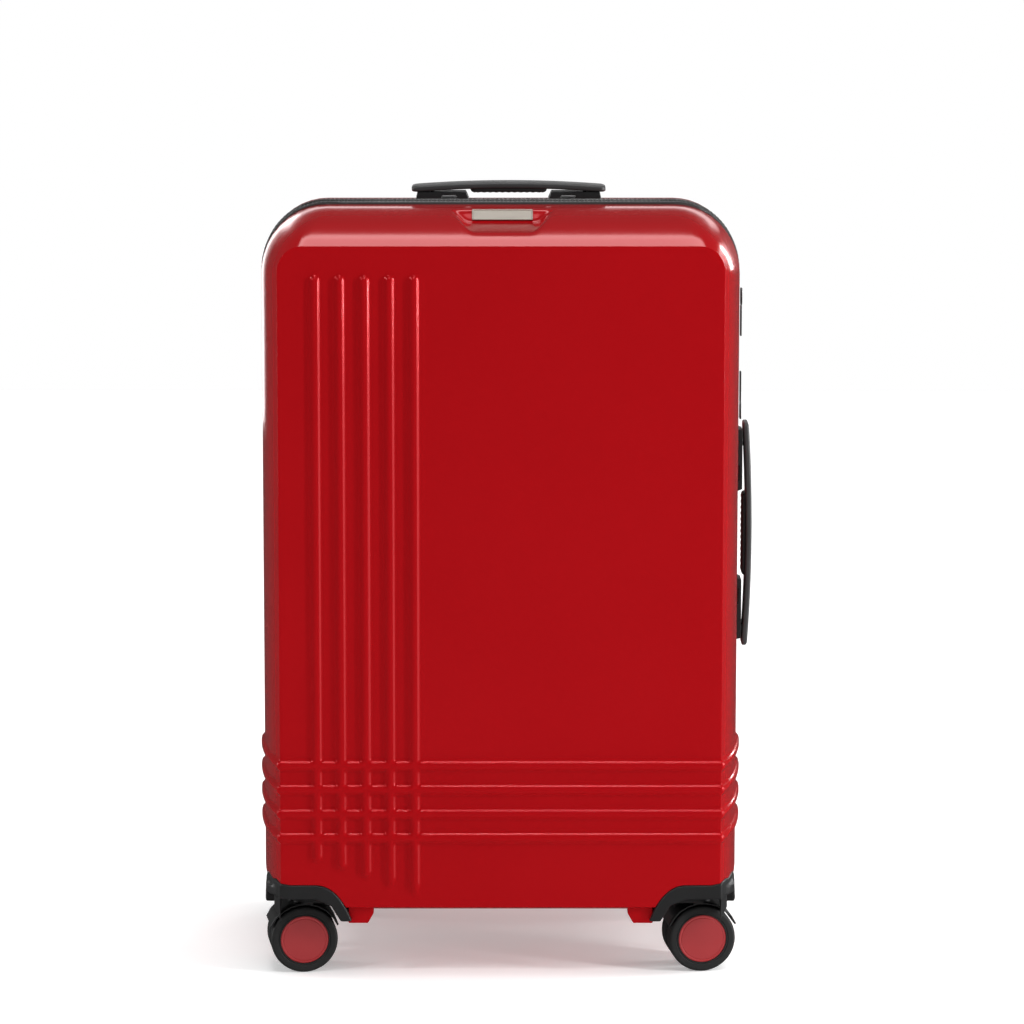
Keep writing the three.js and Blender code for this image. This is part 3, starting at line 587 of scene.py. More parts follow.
@dataclass(frozen=True)
class Woven:
    """Woven textile: zip tape, webbing and lining."""

    name: str
    colour: tuple[float, float, float]
    light: tuple[float, float, float]
    threads: float = 4200.0
    depth: float = 0.6

    def build(self) -> bpy.types.Material:
        """Makes the material."""
        material, w, shader, place = new_material(self.name)
        weave = place_group(w, weave_group(), place, Threads=self.threads)
        colour = tint(w, weave.outputs["Height"], self.colour, self.light)
        w.tree.links.new(colour, shader.inputs["Base Color"])
        w.tree.links.new(ramp(w, weave.outputs["Fuzz"], 0.78, 0.95), shader.inputs["Roughness"])
        shader.inputs["Sheen Weight"].default_value = 0.25
        bump(w, shader, weave.outputs["Height"], self.depth, 0.0003)
        return material


@dataclass(frozen=True)
class BrushedMetal:
    """Brushed or anodised metal."""

    name: str
    colour: tuple[float, float, float]
    roughness: float = 0.32

    def build(self) -> bpy.types.Material:
        """Makes the material."""
        material, w, shader, place = new_material(self.name)
        lines = place_group(w, brushed_group(), place)
        dark = tuple(c * 0.82 for c in self.colour)
        w.tree.links.new(tint(w, lines.outputs["Streaks"], dark, self.colour), shader.inputs["Base Color"])
        rough = ramp(w, lines.outputs["Lines"], self.roughness - 0.08, self.roughness + 0.1)
        w.tree.links.new(rough, shader.inputs["Roughness"])
        shader.inputs["Metallic"].default_value = 1.0
        bump(w, shader, lines.outputs["Lines"], 0.12, 0.0001)
        return material


@dataclass(frozen=True)
class Finishes:
    """Every finish of the case, built once."""

    shell: bpy.types.Material
    black: bpy.types.Material
    housing: bpy.types.Material
    grip: bpy.types.Material
    pad: bpy.types.Material
    tyre: bpy.types.Material
    cap: bpy.types.Material
    tape: bpy.types.Material
    teeth: bpy.types.Material
    lining: bpy.types.Material
    webbing: bpy.types.Material
    plate: bpy.types.Material
    tube: bpy.types.Material
    lock: bpy.types.Material
    steel: bpy.types.Material

    @classmethod
    def build(cls) -> "Finishes":
        """Builds them all."""
        return cls(
            shell=GlossShell().build(),
            black=GrainedPlastic("grained_black_plastic", (0.012,) * 3).build(),
            housing=GrainedPlastic("housing_black_plastic", (0.014, 0.014, 0.0145), roughness=0.42).build(),
            grip=GrainedPlastic("grip_dark_grey", (0.045, 0.045, 0.046), roughness=0.38, depth=0.12).build(),
            # painted shade: the near-black pad finish stands for the shade on the underside of the handle grips
            pad=GrainedPlastic("grip_pad_black", (0.008,) * 3, roughness=0.6, grain=1200.0).build(),
            tyre=GrainedPlastic("wheel_rubber", (0.014,) * 3, roughness=0.62, grain=1400.0, depth=0.3).build(),
            cap=GrainedPlastic(
                "satin_red_cap", (0.36, 0.022, 0.025), lift=1.12, roughness=0.42, depth=0.06
            ).build(),
            tape=Woven("zip_tape_weave", (0.012,) * 3, (0.035,) * 3).build(),
            teeth=GrainedPlastic("zip_teeth_black", (0.018,) * 3, roughness=0.35, depth=0.05).build(),
            lining=Woven("lining_weave", (0.03, 0.03, 0.032), (0.065, 0.065, 0.07), threads=2600.0).build(),
            webbing=Woven(
                "strap_webbing", (0.014, 0.014, 0.015), (0.04, 0.04, 0.042), threads=2000.0, depth=0.9
            ).build(),
            plate=BrushedMetal("warm_brushed_plate", (0.46, 0.42, 0.37), 0.36).build(),
            tube=BrushedMetal("anodised_tube", (0.55, 0.56, 0.58), 0.3).build(),
            lock=BrushedMetal("dark_satin_metal", (0.2, 0.2, 0.205), 0.34).build(),
            steel=BrushedMetal("turned_steel", (0.5, 0.5, 0.5), 0.28).build(),
        )


# ------------------------------------------------------------------ rows that repeat along a path


class Unit(Enum):
    """The small shape that a row repeats."""

    TOOTH = "tooth"
    STITCH = "stitch"


@dataclass(frozen=True)
class Row:
    """A row of one small shape along a path, made by Geometry Nodes; sizes in millimetres."""

    unit: Unit
    pitch: float
    length: float
    width: float
    height: float
    jitter: float = 0.0
    seed: int = 7

    def tree(self, material: bpy.types.Material) -> bpy.types.NodeTree:
        """Builds the node tree with its named inputs.

        Args:
            material: What the row is made of.

        Returns:
            The tree.
        """
        tree = bpy.data.node_groups.new(f"row_of_{self.unit.value}", "GeometryNodeTree")
        tree.interface.new_socket("Geometry", in_out="INPUT", socket_type="NodeSocketGeometry")
        for key in ("Pitch", "Length", "Width", "Height", "Jitter"):
            tree.interface.new_socket(key, in_out="INPUT", socket_type="NodeSocketFloat")
        tree.interface.new_socket("Seed", in_out="INPUT", socket_type="NodeSocketInt")
        tree.interface.new_socket("Geometry", in_out="OUTPUT", socket_type="NodeSocketGeometry")
        w = Wiring(tree)
        source = tree.nodes.new("NodeGroupInput").outputs
        out = tree.nodes.new("NodeGroupOutput")
        curve = w.node("GeometryNodeMeshToCurve", {"Mesh": source["Geometry"]})
        points = w.node(
            "GeometryNodeCurveToPoints", {"Curve": curve.outputs[0], "Length": source["Pitch"]}, mode="LENGTH"
        )
        size = w.node("ShaderNodeCombineXYZ", {0: source["Length"], 1: source["Height"], 2: source["Width"]})
        if self.unit is Unit.TOOTH:
            shape = w.node("GeometryNodeMeshCylinder", {"Vertices": 8, "Radius": 0.5, "Depth": 1.0})
        else:
            shape = w.node("GeometryNodeMeshUVSphere", {"Segments": 8, "Rings": 5, "Radius": 0.5})
        along = w.node("FunctionNodeAlignRotationToVector", {"Vector": points.outputs["Tangent"]}, axis="X")
        across = w.node(
            "FunctionNodeAlignRotationToVector",
            {"Rotation": along.outputs[0], "Vector": (0.0, 1.0, 0.0)},
            axis="Z",
            pivot_axis="X",
        )
        varied = w.node("FunctionNodeRandomValue", {"Seed": source["Seed"]}, data_type="FLOAT")
        varied.inputs[2].default_value = -1.0
        varied.inputs[3].default_value = 1.0
        change = w.math("ADD", w.math("MULTIPLY", varied.outputs[1], source["Jitter"]), 1.0)
        scale = w.node("ShaderNodeVectorMath", {0: size.outputs[0], "Scale": change}, operation="SCALE")
        placed = w.node(
            "GeometryNodeInstanceOnPoints",
            {
                "Points": points.outputs["Points"],
                "Instance": shape.outputs["Mesh"],
                "Rotation": across.outputs[0],
                "Scale": scale.outputs[0],
            },
        )
        real = w.node("GeometryNodeRealizeInstances", {"Geometry": placed.outputs[0]})
        smooth = w.node("GeometryNodeSetShadeSmooth", {"Geometry": real.outputs[0]})
        painted = w.node("GeometryNodeSetMaterial", {"Geometry": smooth.outputs[0], "Material": material})
        tree.links.new(painted.outputs[0], out.inputs[0])
        return tree

    def build(
        self, name: str, path: Sequence[Sequence[float]], material: bpy.types.Material
    ) -> bpy.types.Object:
        """Makes the row along a closed path.

        Args:
            name: The piece's name.
            path: Points in metres; the last joins up with the first.
            material: What the row is made of.

        Returns:
            A plain mesh of the whole row.
        """
        count = len(path)
        mesh = bpy.data.meshes.new(name)
        edges = [(i, (i + 1) % count) for i in range(count)]
        mesh.from_pydata([tuple(p) for p in path], edges, [])
        obj = link(name, mesh)
        tree = self.tree(material)
        step = obj.modifiers.new("row", "NODES")
        step.node_group = tree
        values = {
            "Pitch": self.pitch * MM,
            "Length": self.length * MM,
            "Width": self.width * MM,
            "Height": self.height * MM,
            "Jitter": self.jitter,
            "Seed": self.seed,
        }
        for item in tree.interface.items_tree:
            if item.in_out == "INPUT" and item.name in values:
                step[item.identifier] = values[item.name]
        return bake_modifiers(obj)


# ------------------------------------------------------------------ the case's form


@dataclass(frozen=True)
class CaseForm:
    """The case's own form in millimetres: a rounded box whose shoulders draw in towards its two panels."""

    middle_x: float = -7.0
    half_width: float = 213.4
    half_depth: float = 141.0
    bottom: float = 58.5
    top: float = 679.3
    corner_radius: float = 58.0
    foot_radius: float = 24.0
    panel_radius: float = 22.0
    edge_radius: float = 19.0
    inset_side: float = 18.2
    inset_above: float = 23.0
    inset_below: float = 12.0
    edge_share: float = 1.2
    tuck: float = 4.0
    shoulder: tuple[tuple[float, float], ...] = ((47.9, 0.0), (90.2, 0.27), (119.9, 0.6), (141.0, 1.0))
    edge_fillet: float = 0.19
    wall: float = 2.5
    zip_half: float = 15.0
    zip_proud: float = 2.5
    side_trim: float = 1.3
    core_x: float = 140.0
    core_low: float = 118.0
    core_high: float = 600.0

    def frame_at(self, draw_in: float, grow: float = 0.0) -> tuple[float, float, float, float, float]:
        """The outline drawn in by a share of the panel's inset and moved out by grow.

        Args:
            draw_in: 0 at the zip, 1 at the panel's edge.
            grow: Millimetres added all round.

        Returns:
            Half width, bottom, top, upper corner radius and lower corner radius.
        """
        share = min(draw_in, 1.0)
        past = max(draw_in - 1.0, 0.0) / (self.edge_share - 1.0)
        upper = self.corner_radius + (self.panel_radius - self.corner_radius) * share
        lower = self.foot_radius + (self.panel_radius - self.foot_radius) * share
        less = (self.panel_radius - self.edge_radius) * past
        rise = self.inset_below * self.edge_share * (draw_in / self.edge_share) ** self.tuck
        return (
            self.half_width - self.inset_side * draw_in + grow,
            self.bottom + rise - grow,
            self.top - self.inset_above * draw_in + grow,
            max(upper - less + grow, 1.0),
            max(lower - less + grow, 1.0),
        )

    def profile(self, start: float, steps: int = 4) -> list[tuple[float, float]]:
        """The section from the panel's flat out over its edge and down the shoulder to a depth.

        Args:
            start: The depth where the section ends, near the zip.
            steps: Steps along each straight stretch of it.

        Returns:
            [depth, draw_in] points from the panel towards the zip.
        """
        line = [(start, 0.0), *self.shoulder, (self.half_depth, self.edge_share)]
        for _ in range(3):
            fresh = [line[0]]
            for (d0, s0), (d1, s1) in zip(line[:-2], line[1:-1]):
                fresh.append((d0 * 0.75 + d1 * 0.25, s0 * 0.75 + s1 * 0.25))
                fresh.append((d0 * 0.25 + d1 * 0.75, s0 * 0.25 + s1 * 0.75))
            line = [*fresh, line[-2], line[-1]]
        edge_depth, edge_share = line[-2]
        before = line[-3]
        reach = math.hypot((edge_depth - before[0]) / self.inset_side, edge_share - before[1])
        part = min(0.95, self.edge_fillet / max(reach, 1e-6))
        near = (edge_depth + (before[0] - edge_depth) * part, edge_share + (before[1] - edge_share) * part)
        far = (self.half_depth, edge_share + self.edge_fillet)
        bend = []
        for i in range(7):
            t = i / 6
            bend.append(tuple(
                (1 - t) ** 2 * a + 2 * t * (1 - t) * b + t * t * c
                for a, b, c in zip(near, (edge_depth, edge_share), far)
            ))
        points = [*line[:-2], *bend, line[-1]]
        dense = [points[0]]
        for (d0, s0), (d1, s1) in zip(points[:-1], points[1:]):
            gap = math.hypot(d1 - d0, (s1 - s0) * self.inset_side)
            count = max(1, math.ceil(gap / steps))
            dense += [(d0 + (d1 - d0) * k / count, s0 + (s1 - s0) * k / count) for k in range(1, count + 1)]
        return dense[::-1]

    def place(self, seat: tuple, depth: float, draw_in: float, half: Half, grow: float = 0.0) -> tuple:
        """Puts one seat of the outline's round at a depth.

        Args:
            seat: (across, up, cosine, sine) of a corner seat, or (across, up, x, z) of a straight one.
            depth: The distance from the zip's plane.
            draw_in: How far the outline is drawn in there.
            half: Which half of the case.
            grow: Millimetres added all round.

        Returns:
            A point in millimetres in the row frame.
        """
        width, low, high, upper, lower = self.frame_at(draw_in, grow)
        across, up, first, second = seat
        base = self.frame_at(self.edge_share)
        core = self.core_x
        if across and up:
            radius = upper if up > 0 else lower
            x = across * (width - radius + radius * first)
            z = high - radius + radius * second if up > 0 else low + radius - radius * second
        elif across:
            x = across * width
            z = float(np.interp(second, [base[1] + base[4], self.core_low, self.core_high, base[2] - base[3]],
                                [low + lower, self.core_low, self.core_high, high - upper]))
        else:
            radius, base_radius = (upper, base[3]) if up > 0 else (lower, base[4])
            ends, own = base[0] - base_radius, width - radius
            x = float(np.interp(first, [-ends, -core, core, ends], [-own, -core, core, own]))
            z = high if up > 0 else low
        return (x + self.middle_x, half.value * depth, z)

    def loop(self, depth: float, half: Half, grow: float = 0.0, step: float = 6.0) -> list[tuple]:
        """The outline at the zip as one evenly stepped loop.

        Args:
            depth: The distance from the zip's plane.
            half: Which half of the case.
            grow: Millimetres added all round.
            step: The step along its straight stretches.

        Returns:
            Points in metres, anticlockwise from the front.
        """
        width, low, high, upper, lower = self.frame_at(0.0, grow)
        points = []
        corners = ((1, 1, upper, 0), (-1, 1, upper, 90), (-1, -1, lower, 180), (1, -1, lower, 270))
        for across, up, radius, start in corners:
            cx, cz = across * (width - radius), (high - radius if up > 0 else low + radius)
            count = max(8, math.ceil(radius * math.pi / 2 / step * 2))
            for i in range(count + 1):
                turn = math.radians(start + 90 * i / count)
                points.append((cx + radius * math.cos(turn), cz + radius * math.sin(turn)))
        dense = []
        for (x0, z0), (x1, z1) in zip(points, points[1:] + points[:1]):
            count = max(1, math.ceil(math.hypot(x1 - x0, z1 - z0) / step))
            dense += [(x0 + (x1 - x0) * k / count, z0 + (z1 - z0) * k / count) for k in range(count)]
        trim = 1 - self.side_trim / self.half_width
        return [((x * trim + self.middle_x) * MM, half.value * depth * MM, z * MM) for x, z in dense]


FORM = CaseForm()
HANDLE_Y = 31.0  # both carry handles stand on the back half, this far behind the zip
TOP_HANDLE_X = 7.5
SIDE_HANDLE_Z = 372.8


def lines(stretches: Sequence[tuple[float, float, float]]) -> list[float]:
    """Grid lines over stretches that follow each other.

    Args:
        stretches: (from, to, step) of each.

    Returns:
        The lines' places, in order.
    """
    places = [stretches[0][0]]
    for low, high, step in stretches:
        count = max(1, round((high - low) / step))
        places += [low + (high - low) * k / count for k in range(1, count + 1)]
    return places


@dataclass
class PanelGrid:
    """A grid over a panel whose lines bend into its round corners, with rings down the shoulder round it."""

    across: list[float]
    up: list[float]
    corner_steps: int = 5

    def seats(self, i: int, j: int) -> tuple:
        """The seat of one grid point: which corner or side it belongs to, and where."""
        k = self.corner_steps
        nx, nz = len(self.across), len(self.up)
        sx, a = (-1, (k - i) / k) if i < k else (1, (i - k - nx + 1) / k) if i > k + nx - 1 else (0, 0.0)
        sz, b = (-1, (k - j) / k) if j < k else (1, (j - k - nz + 1) / k) if j > k + nz - 1 else (0, 0.0)
        return sx, a, sz, b

    def build(self, half: Half, profile: Sequence[tuple[float, float]]) -> tuple[np.ndarray, list]:
        """Builds the surface of one half.

        Args:
            half: Which half.
            profile: The section from the panel to the zip.

        Returns:
            The vertices in millimetres and the faces.
        """
        k = self.corner_steps
        radius = FORM.frame_at(FORM.edge_share)[3]
        nx, nz = len(self.across), len(self.up)
        columns, rows = nx + 2 * k, nz + 2 * k
        depth = profile[0][0]
        points, seat_of = [], {}
        for j in range(rows):
            for i in range(columns):
                sx, a, sz, b = self.seats(i, j)
                x = self.across[min(max(i - k, 0), nx - 1)]
                z = self.up[min(max(j - k, 0), nz - 1)]
                if sx and sz:
                    first, second = a * math.sqrt(1 - b * b / 2), b * math.sqrt(1 - a * a / 2)
                    x += sx * radius * first
                    z += sz * radius * second
                    seat_of[(i, j)] = (sx, sz, first, second)
                else:
                    x += sx * radius * a
                    z += sz * radius * b
                    seat_of[(i, j)] = (sx, sz, x, z)
                points.append((x + FORM.middle_x, half.value * depth, z))
        faces = [
            (j * columns + i, j * columns + i + 1, (j + 1) * columns + i + 1, (j + 1) * columns + i)
            for j in range(rows - 1)
            for i in range(columns - 1)
        ]
        border = [(i, 0) for i in range(columns)]
        border += [(columns - 1, j) for j in range(1, rows)]
        border += [(i, rows - 1) for i in range(columns - 2, -1, -1)]
        border += [(0, j) for j in range(rows - 2, 0, -1)]
        previous = [j * columns + i for i, j in border]
        for ring_depth, draw_in in profile[1:]:
            ring = []
            for seat in border:
                ring.append(len(points))
                points.append(FORM.place(seat_of[seat], ring_depth, draw_in, half))
            count = len(border)
            for n in range(count):
                after = (n + 1) % count
                faces.append((previous[n], ring[n], ring[after], previous[after]))
            previous = ring
        if half is Half.BACK:
            faces = [face[::-1] for face in faces]
        return np.array(points), faces


def soft_least(a: np.ndarray, b: np.ndarray, blend: float) -> np.ndarray:
    """The lesser of two heights, with the crease between them rounded."""
    near = np.maximum(blend - np.abs(a - b), 0) / blend
    return np.minimum(a, b) - near * near * blend / 4


def soft_most(a: np.ndarray, b: np.ndarray, blend: float) -> np.ndarray:
    """The greater of two heights, with the crease between them rounded."""
    return -soft_least(-a, -b, blend)


@dataclass
class CornerRooms:
    """The rooms that the caster housings take out of the case; sizes in millimetres."""

    reach: float = 82.5
    crown: float = 85.5
    corner_rise: float = 5.5
    corner_run: float = 26.0
    arch_radius: float = 33.5
    drum_radius: float = 46.6
    drum_top: float = 81.0
    swivel: tuple[float, float] = (166.0, 99.0)
    arch_steps: int = 12
    drum_steps: int = 48
    through: float = 20.0

    def arch(self, outer: float, grow: float) -> list[tuple[float, float]]:
        """The arch's outline from its inner foot over to the outer corner."""
        foot, top = outer - self.reach - grow, self.crown + grow
        points = [(outer + self.through, top + self.corner_rise), (outer, top + self.corner_rise),
                  (outer - self.corner_run, top)]
        start, middle = (foot + self.arch_radius, top), (foot + self.arch_radius * 0.38, top)
        end = (foot, self.crown - self.arch_radius - 2)
        for i in range(self.arch_steps + 1):
            t = i / self.arch_steps
            points.append(tuple((1 - t) ** 2 * a + 2 * t * (1 - t) * b + t * t * c
                                for a, b, c in zip(start, middle, end)))
        return [*points, (foot, -self.through), (outer + self.through, -self.through)]

    def cutter(self, half: Half, side: int, grow: float) -> bpy.types.Object:
        """A solid of one corner's room, moved outward by grow.

        Args:
            half: Which half of the case.
            side: -1 for the left corner, 1 for the right.
            grow: Millimetres added all round.

        Returns:
            The solid.
        """
        across = [((side * x + FORM.middle_x) * MM, z * MM) for x, z in self.arch(FORM.half_width, grow)]
        along = [(half.value * y * MM, z * MM) for y, z in self.arch(FORM.half_depth, grow)]
        depths = sorted((0.0, half.value * (FORM.half_depth + self.through) * MM))
        beyond = side * (FORM.half_width + self.through) + FORM.middle_x
        widths = sorted((FORM.middle_x * MM, beyond * MM))
        room = prism("room", across, "y", *depths)
        room = cut(room, prism("room_along", along, "x", *widths), "INTERSECT")
        radius = self.drum_radius + grow
        round_part = []
        for i in range(self.drum_steps):
            turn = 2 * math.pi * i / self.drum_steps
            x = min(self.swivel[0] + radius * math.cos(turn), FORM.half_width - 4 + grow)
            y = min(self.swivel[1] + radius * math.sin(turn), FORM.half_depth - 12 + grow)
            round_part.append(((side * x + FORM.middle_x) * MM, half.value * y * MM))
        drum = prism("drum", round_part, "z", 0.0, (self.drum_top + grow) * MM)
        return cut(room, drum, "UNION")


def block(low: Sequence[float], high: Sequence[float]) -> bpy.types.Object:
    """A closed block between two corners in metres."""
    outline = [(low[0], low[1]), (high[0], low[1]), (high[0], high[1]), (low[0], high[1])]
    return prism("block", outline, "z", low[2], high[2])


# ------------------------------------------------------------------ shells


@dataclass
class Shell:
    """One moulded half shell: panel, ribs, shoulder, rim, feet and its cut-outs; sizes in millimetres."""

    half: Half
    finishes: Finishes
    rib_width: float = 9.4
    rib_height: float = 3.0
    upright_x: tuple[float, ...] = (-162.5, -140.87, -119.24, -97.61, -75.98)
    upright_top: float = 631.3
    upright_bottom: tuple[float, ...] = (106.5, 99.63, 92.76, 85.89, 79.02)
    level_z: tuple[float, ...] = (128.6, 150.55, 172.5, 194.45)
    rib_start: float = 20.0
    plate_x: float = 1.5
    scoop_reach: float = 32.0
    scoop_depth: float = 10.5
    scoop_back: tuple[float, float] = (51.0, 63.0)
    scoop_drop: float = 0.061
    foot: tuple[float, float, float] = (113.0, 118.0, 135.5)
    foot_depth: tuple[float, float] = (122.0, 137.0)
    foot_height: float = 9.0
    foot_sunk: float = 13.0
    foot_round: float = 1.2
    gap: float = 0.3

    def rib_rise(self, points: np.ndarray) -> np.ndarray:
        """How far the ribs lift the surface at each point, in millimetres."""
        reach, flat = self.rib_width / 2 + 0.7, self.rib_width * 0.16

        def bump_of(distance: np.ndarray) -> np.ndarray:
            """A rib's rounded section, 1 at its middle and 0 beside it."""
            t = np.clip((distance - flat) / (reach - flat), 0, 1)
            return 1 - t * t * (3 - 2 * t)

        x, depth, z = points[:, 0] - FORM.middle_x, np.abs(points[:, 1]), points[:, 2]
        flatness = np.clip((depth - FORM.half_depth + 2) / 1.5, 0, 1)
        bare = np.ones(len(points))
        for place, low in zip(self.upright_x, self.upright_bottom):
            nearest = np.clip(z, low + self.rib_width / 2, self.upright_top - self.rib_width / 2)
            bare *= 1 - bump_of(np.hypot(x - place, z - nearest)) * flatness
        fade = np.clip((depth - self.rib_start) / 4, 0, 1)
        for level in self.level_z:
            bare *= 1 - bump_of(np.abs(z - level)) * fade
        return (1 - bare) * self.rib_height

    def scooped(self, points: np.ndarray) -> np.ndarray:
        """Presses the name plate's scoop into the front shoulder."""
        x, depth, z = np.abs(points[:, 0] - FORM.middle_x - self.plate_x), -points[:, 1], points[:, 2]
        floor = FORM.top - self.scoop_depth - np.maximum(depth - self.scoop_back[1], 0) * self.scoop_drop
        slope = self.scoop_depth / (self.scoop_back[1] - self.scoop_back[0])
        back = FORM.top - (depth - self.scoop_back[0]) * slope
        ends = FORM.top - self.scoop_depth + (x - self.scoop_reach) * 0.8
        room = soft_most(soft_most(floor, back, 1.0), ends, 3.0)
        changed = points.copy()
        changed[:, 2] = np.where(z > FORM.core_high, soft_least(z, room, 2.0), z)
        return changed

    def skin(self) -> bpy.types.Object:
        """The outer surface with its ribs and scoop."""
        edge = FORM.frame_at(FORM.edge_share)
        wide, low, high = edge[0] - edge[3], edge[1] + edge[4], edge[2] - edge[3]
        across = lines([(-wide, -70, 1.5), (-70, -48, 6), (-48, 52, 2.6), (52, wide, 12)])
        up = lines([(low, 202, 1.5), (202, 618, 13), (618, high, 1.5)])
        points, faces = PanelGrid(across, up).build(self.half, FORM.profile(FORM.zip_half, 4))
        bare = mesh_object("skin", points * MM, faces)
        normals = np.zeros(len(points) * 3)
        bare.data.vertex_normals.foreach_get("vector", normals)
        bpy.data.objects.remove(bare)
        points += normals.reshape(-1, 3) * self.rib_rise(points)[:, None]
        if self.half is Half.FRONT:
            points = self.scooped(points)
        return mesh_object(f"{self.half.word}_shell_moulded", points * MM, faces)

    def cutters(self) -> list[bpy.types.Object]:
        """The solids that are cut out of this half."""
        rooms = CornerRooms()
        made = [rooms.cutter(self.half, side, 0.0) for side in (-1, 1)]
        if self.half is Half.BACK:
            gap = self.gap * MM
            for node, past in (("trolley_bezel", (gap, gap, 0.02)), ("lock_body", (0.01, gap, gap))):
                low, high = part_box(node)
                made.append(block([v - gap for v in low], [v + more for v, more in zip(high, past)]))
        return made

    def feet(self) -> list[bpy.types.Object]:
        """The two small feet under this half."""
        made = []
        slope, inner, outer = self.foot
        low, high = FORM.bottom - self.foot_height, FORM.bottom + self.foot_sunk
        for side in (-1, 1):
            outline = [(inner, low), (outer, low), (outer, high), (slope, high), (slope, FORM.bottom)]
            placed = [((side * x + FORM.middle_x) * MM, z * MM) for x, z in outline]
            depths = sorted(self.half.value * y * MM for y in self.foot_depth)
            made.append(rounded(prism("foot", placed, "y", *depths), self.foot_round * MM))
        return made

    def build(self) -> bpy.types.Object:
        """Builds and dresses the shell."""
        obj = self.skin()
        wall = obj.modifiers.new("wall", "SOLIDIFY")
        wall.thickness, wall.offset = FORM.wall * MM, -1.0
        obj = bake_modifiers(obj)
        for cutter in self.cutters():
            obj = cut(obj, cutter)
        obj = joined(f"{self.half.word}_shell_moulded", [obj, *self.feet()])
        shade(obj, 42)
        return dress(obj, self.finishes.shell, self.half.body, [f"{self.half.word}_shell"])


# ------------------------------------------------------------------ zip and lining


@dataclass
class ZipTape:
    """One half's zip: woven tape, its stitches and its row of teeth; sizes in millimetres."""

    half: Half
    finishes: Finishes
    teeth: Row = Row(Unit.TOOTH, pitch=2.6, length=1.5, width=2.5, height=1.5)
    stitches: Row = Row(Unit.STITCH, pitch=4.0, length=2.9, width=0.55, height=0.5, jitter=0.08)
    stitch_depths: tuple[float, ...] = (5.4, 12.6)
    stitch_rise: float = 2.25
    teeth_seat: tuple[float, float] = (1.35, 1.1)
    section: tuple[tuple[float, float], ...] = (
        (14.7, -4.0), (14.7, 0.9), (14.45, 1.5), (13.9, 1.95), (13.2, 2.15), (11.9, 2.2), (6.2, 2.2),
        (4.9, 2.2), (4.2, 2.1), (3.7, 1.6), (3.3, 0.9), (2.8, 0.6), (0.15, 0.6), (0.15, -4.0),
    )

    def band(self) -> bpy.types.Object:
        """The tape, as a closed band round the case's edge."""
        rings = [FORM.loop(depth, self.half, grow) for depth, grow in self.section]
        count, rounds = len(rings[0]), len(rings)
        vertices = [point for ring in rings for point in ring]
        faces = []
        for r in range(rounds):
            for i in range(count):
                a, b = r * count, ((r + 1) % rounds) * count
                faces.append((a + i, a + (i + 1) % count, b + (i + 1) % count, b + i))
        obj = mesh_object(f"{self.half.word}_zip_band", vertices, faces)
        tidy_mesh(obj.data, 1e-8)
        shade(obj, 50)
        return obj

    def build(self) -> None:
        """Builds and dresses the tape, stitches and teeth."""
        word, body = self.half.word, self.half.body
        dress(self.band(), self.finishes.tape, body, [f"{word}_zip_tape"])
        rows = [
            self.stitches.build("row", FORM.loop(depth, self.half, self.stitch_rise), self.finishes.teeth)
            for depth in self.stitch_depths
        ]
        dress(joined(f"{word}_zip_stitches", rows), self.finishes.teeth, body)
        depth, rise = self.teeth_seat
        path = FORM.loop(depth, self.half, rise)
        teeth = self.teeth.build(f"{word}_zip_teeth", path, self.finishes.teeth)
        dress(teeth, self.finishes.teeth, body)


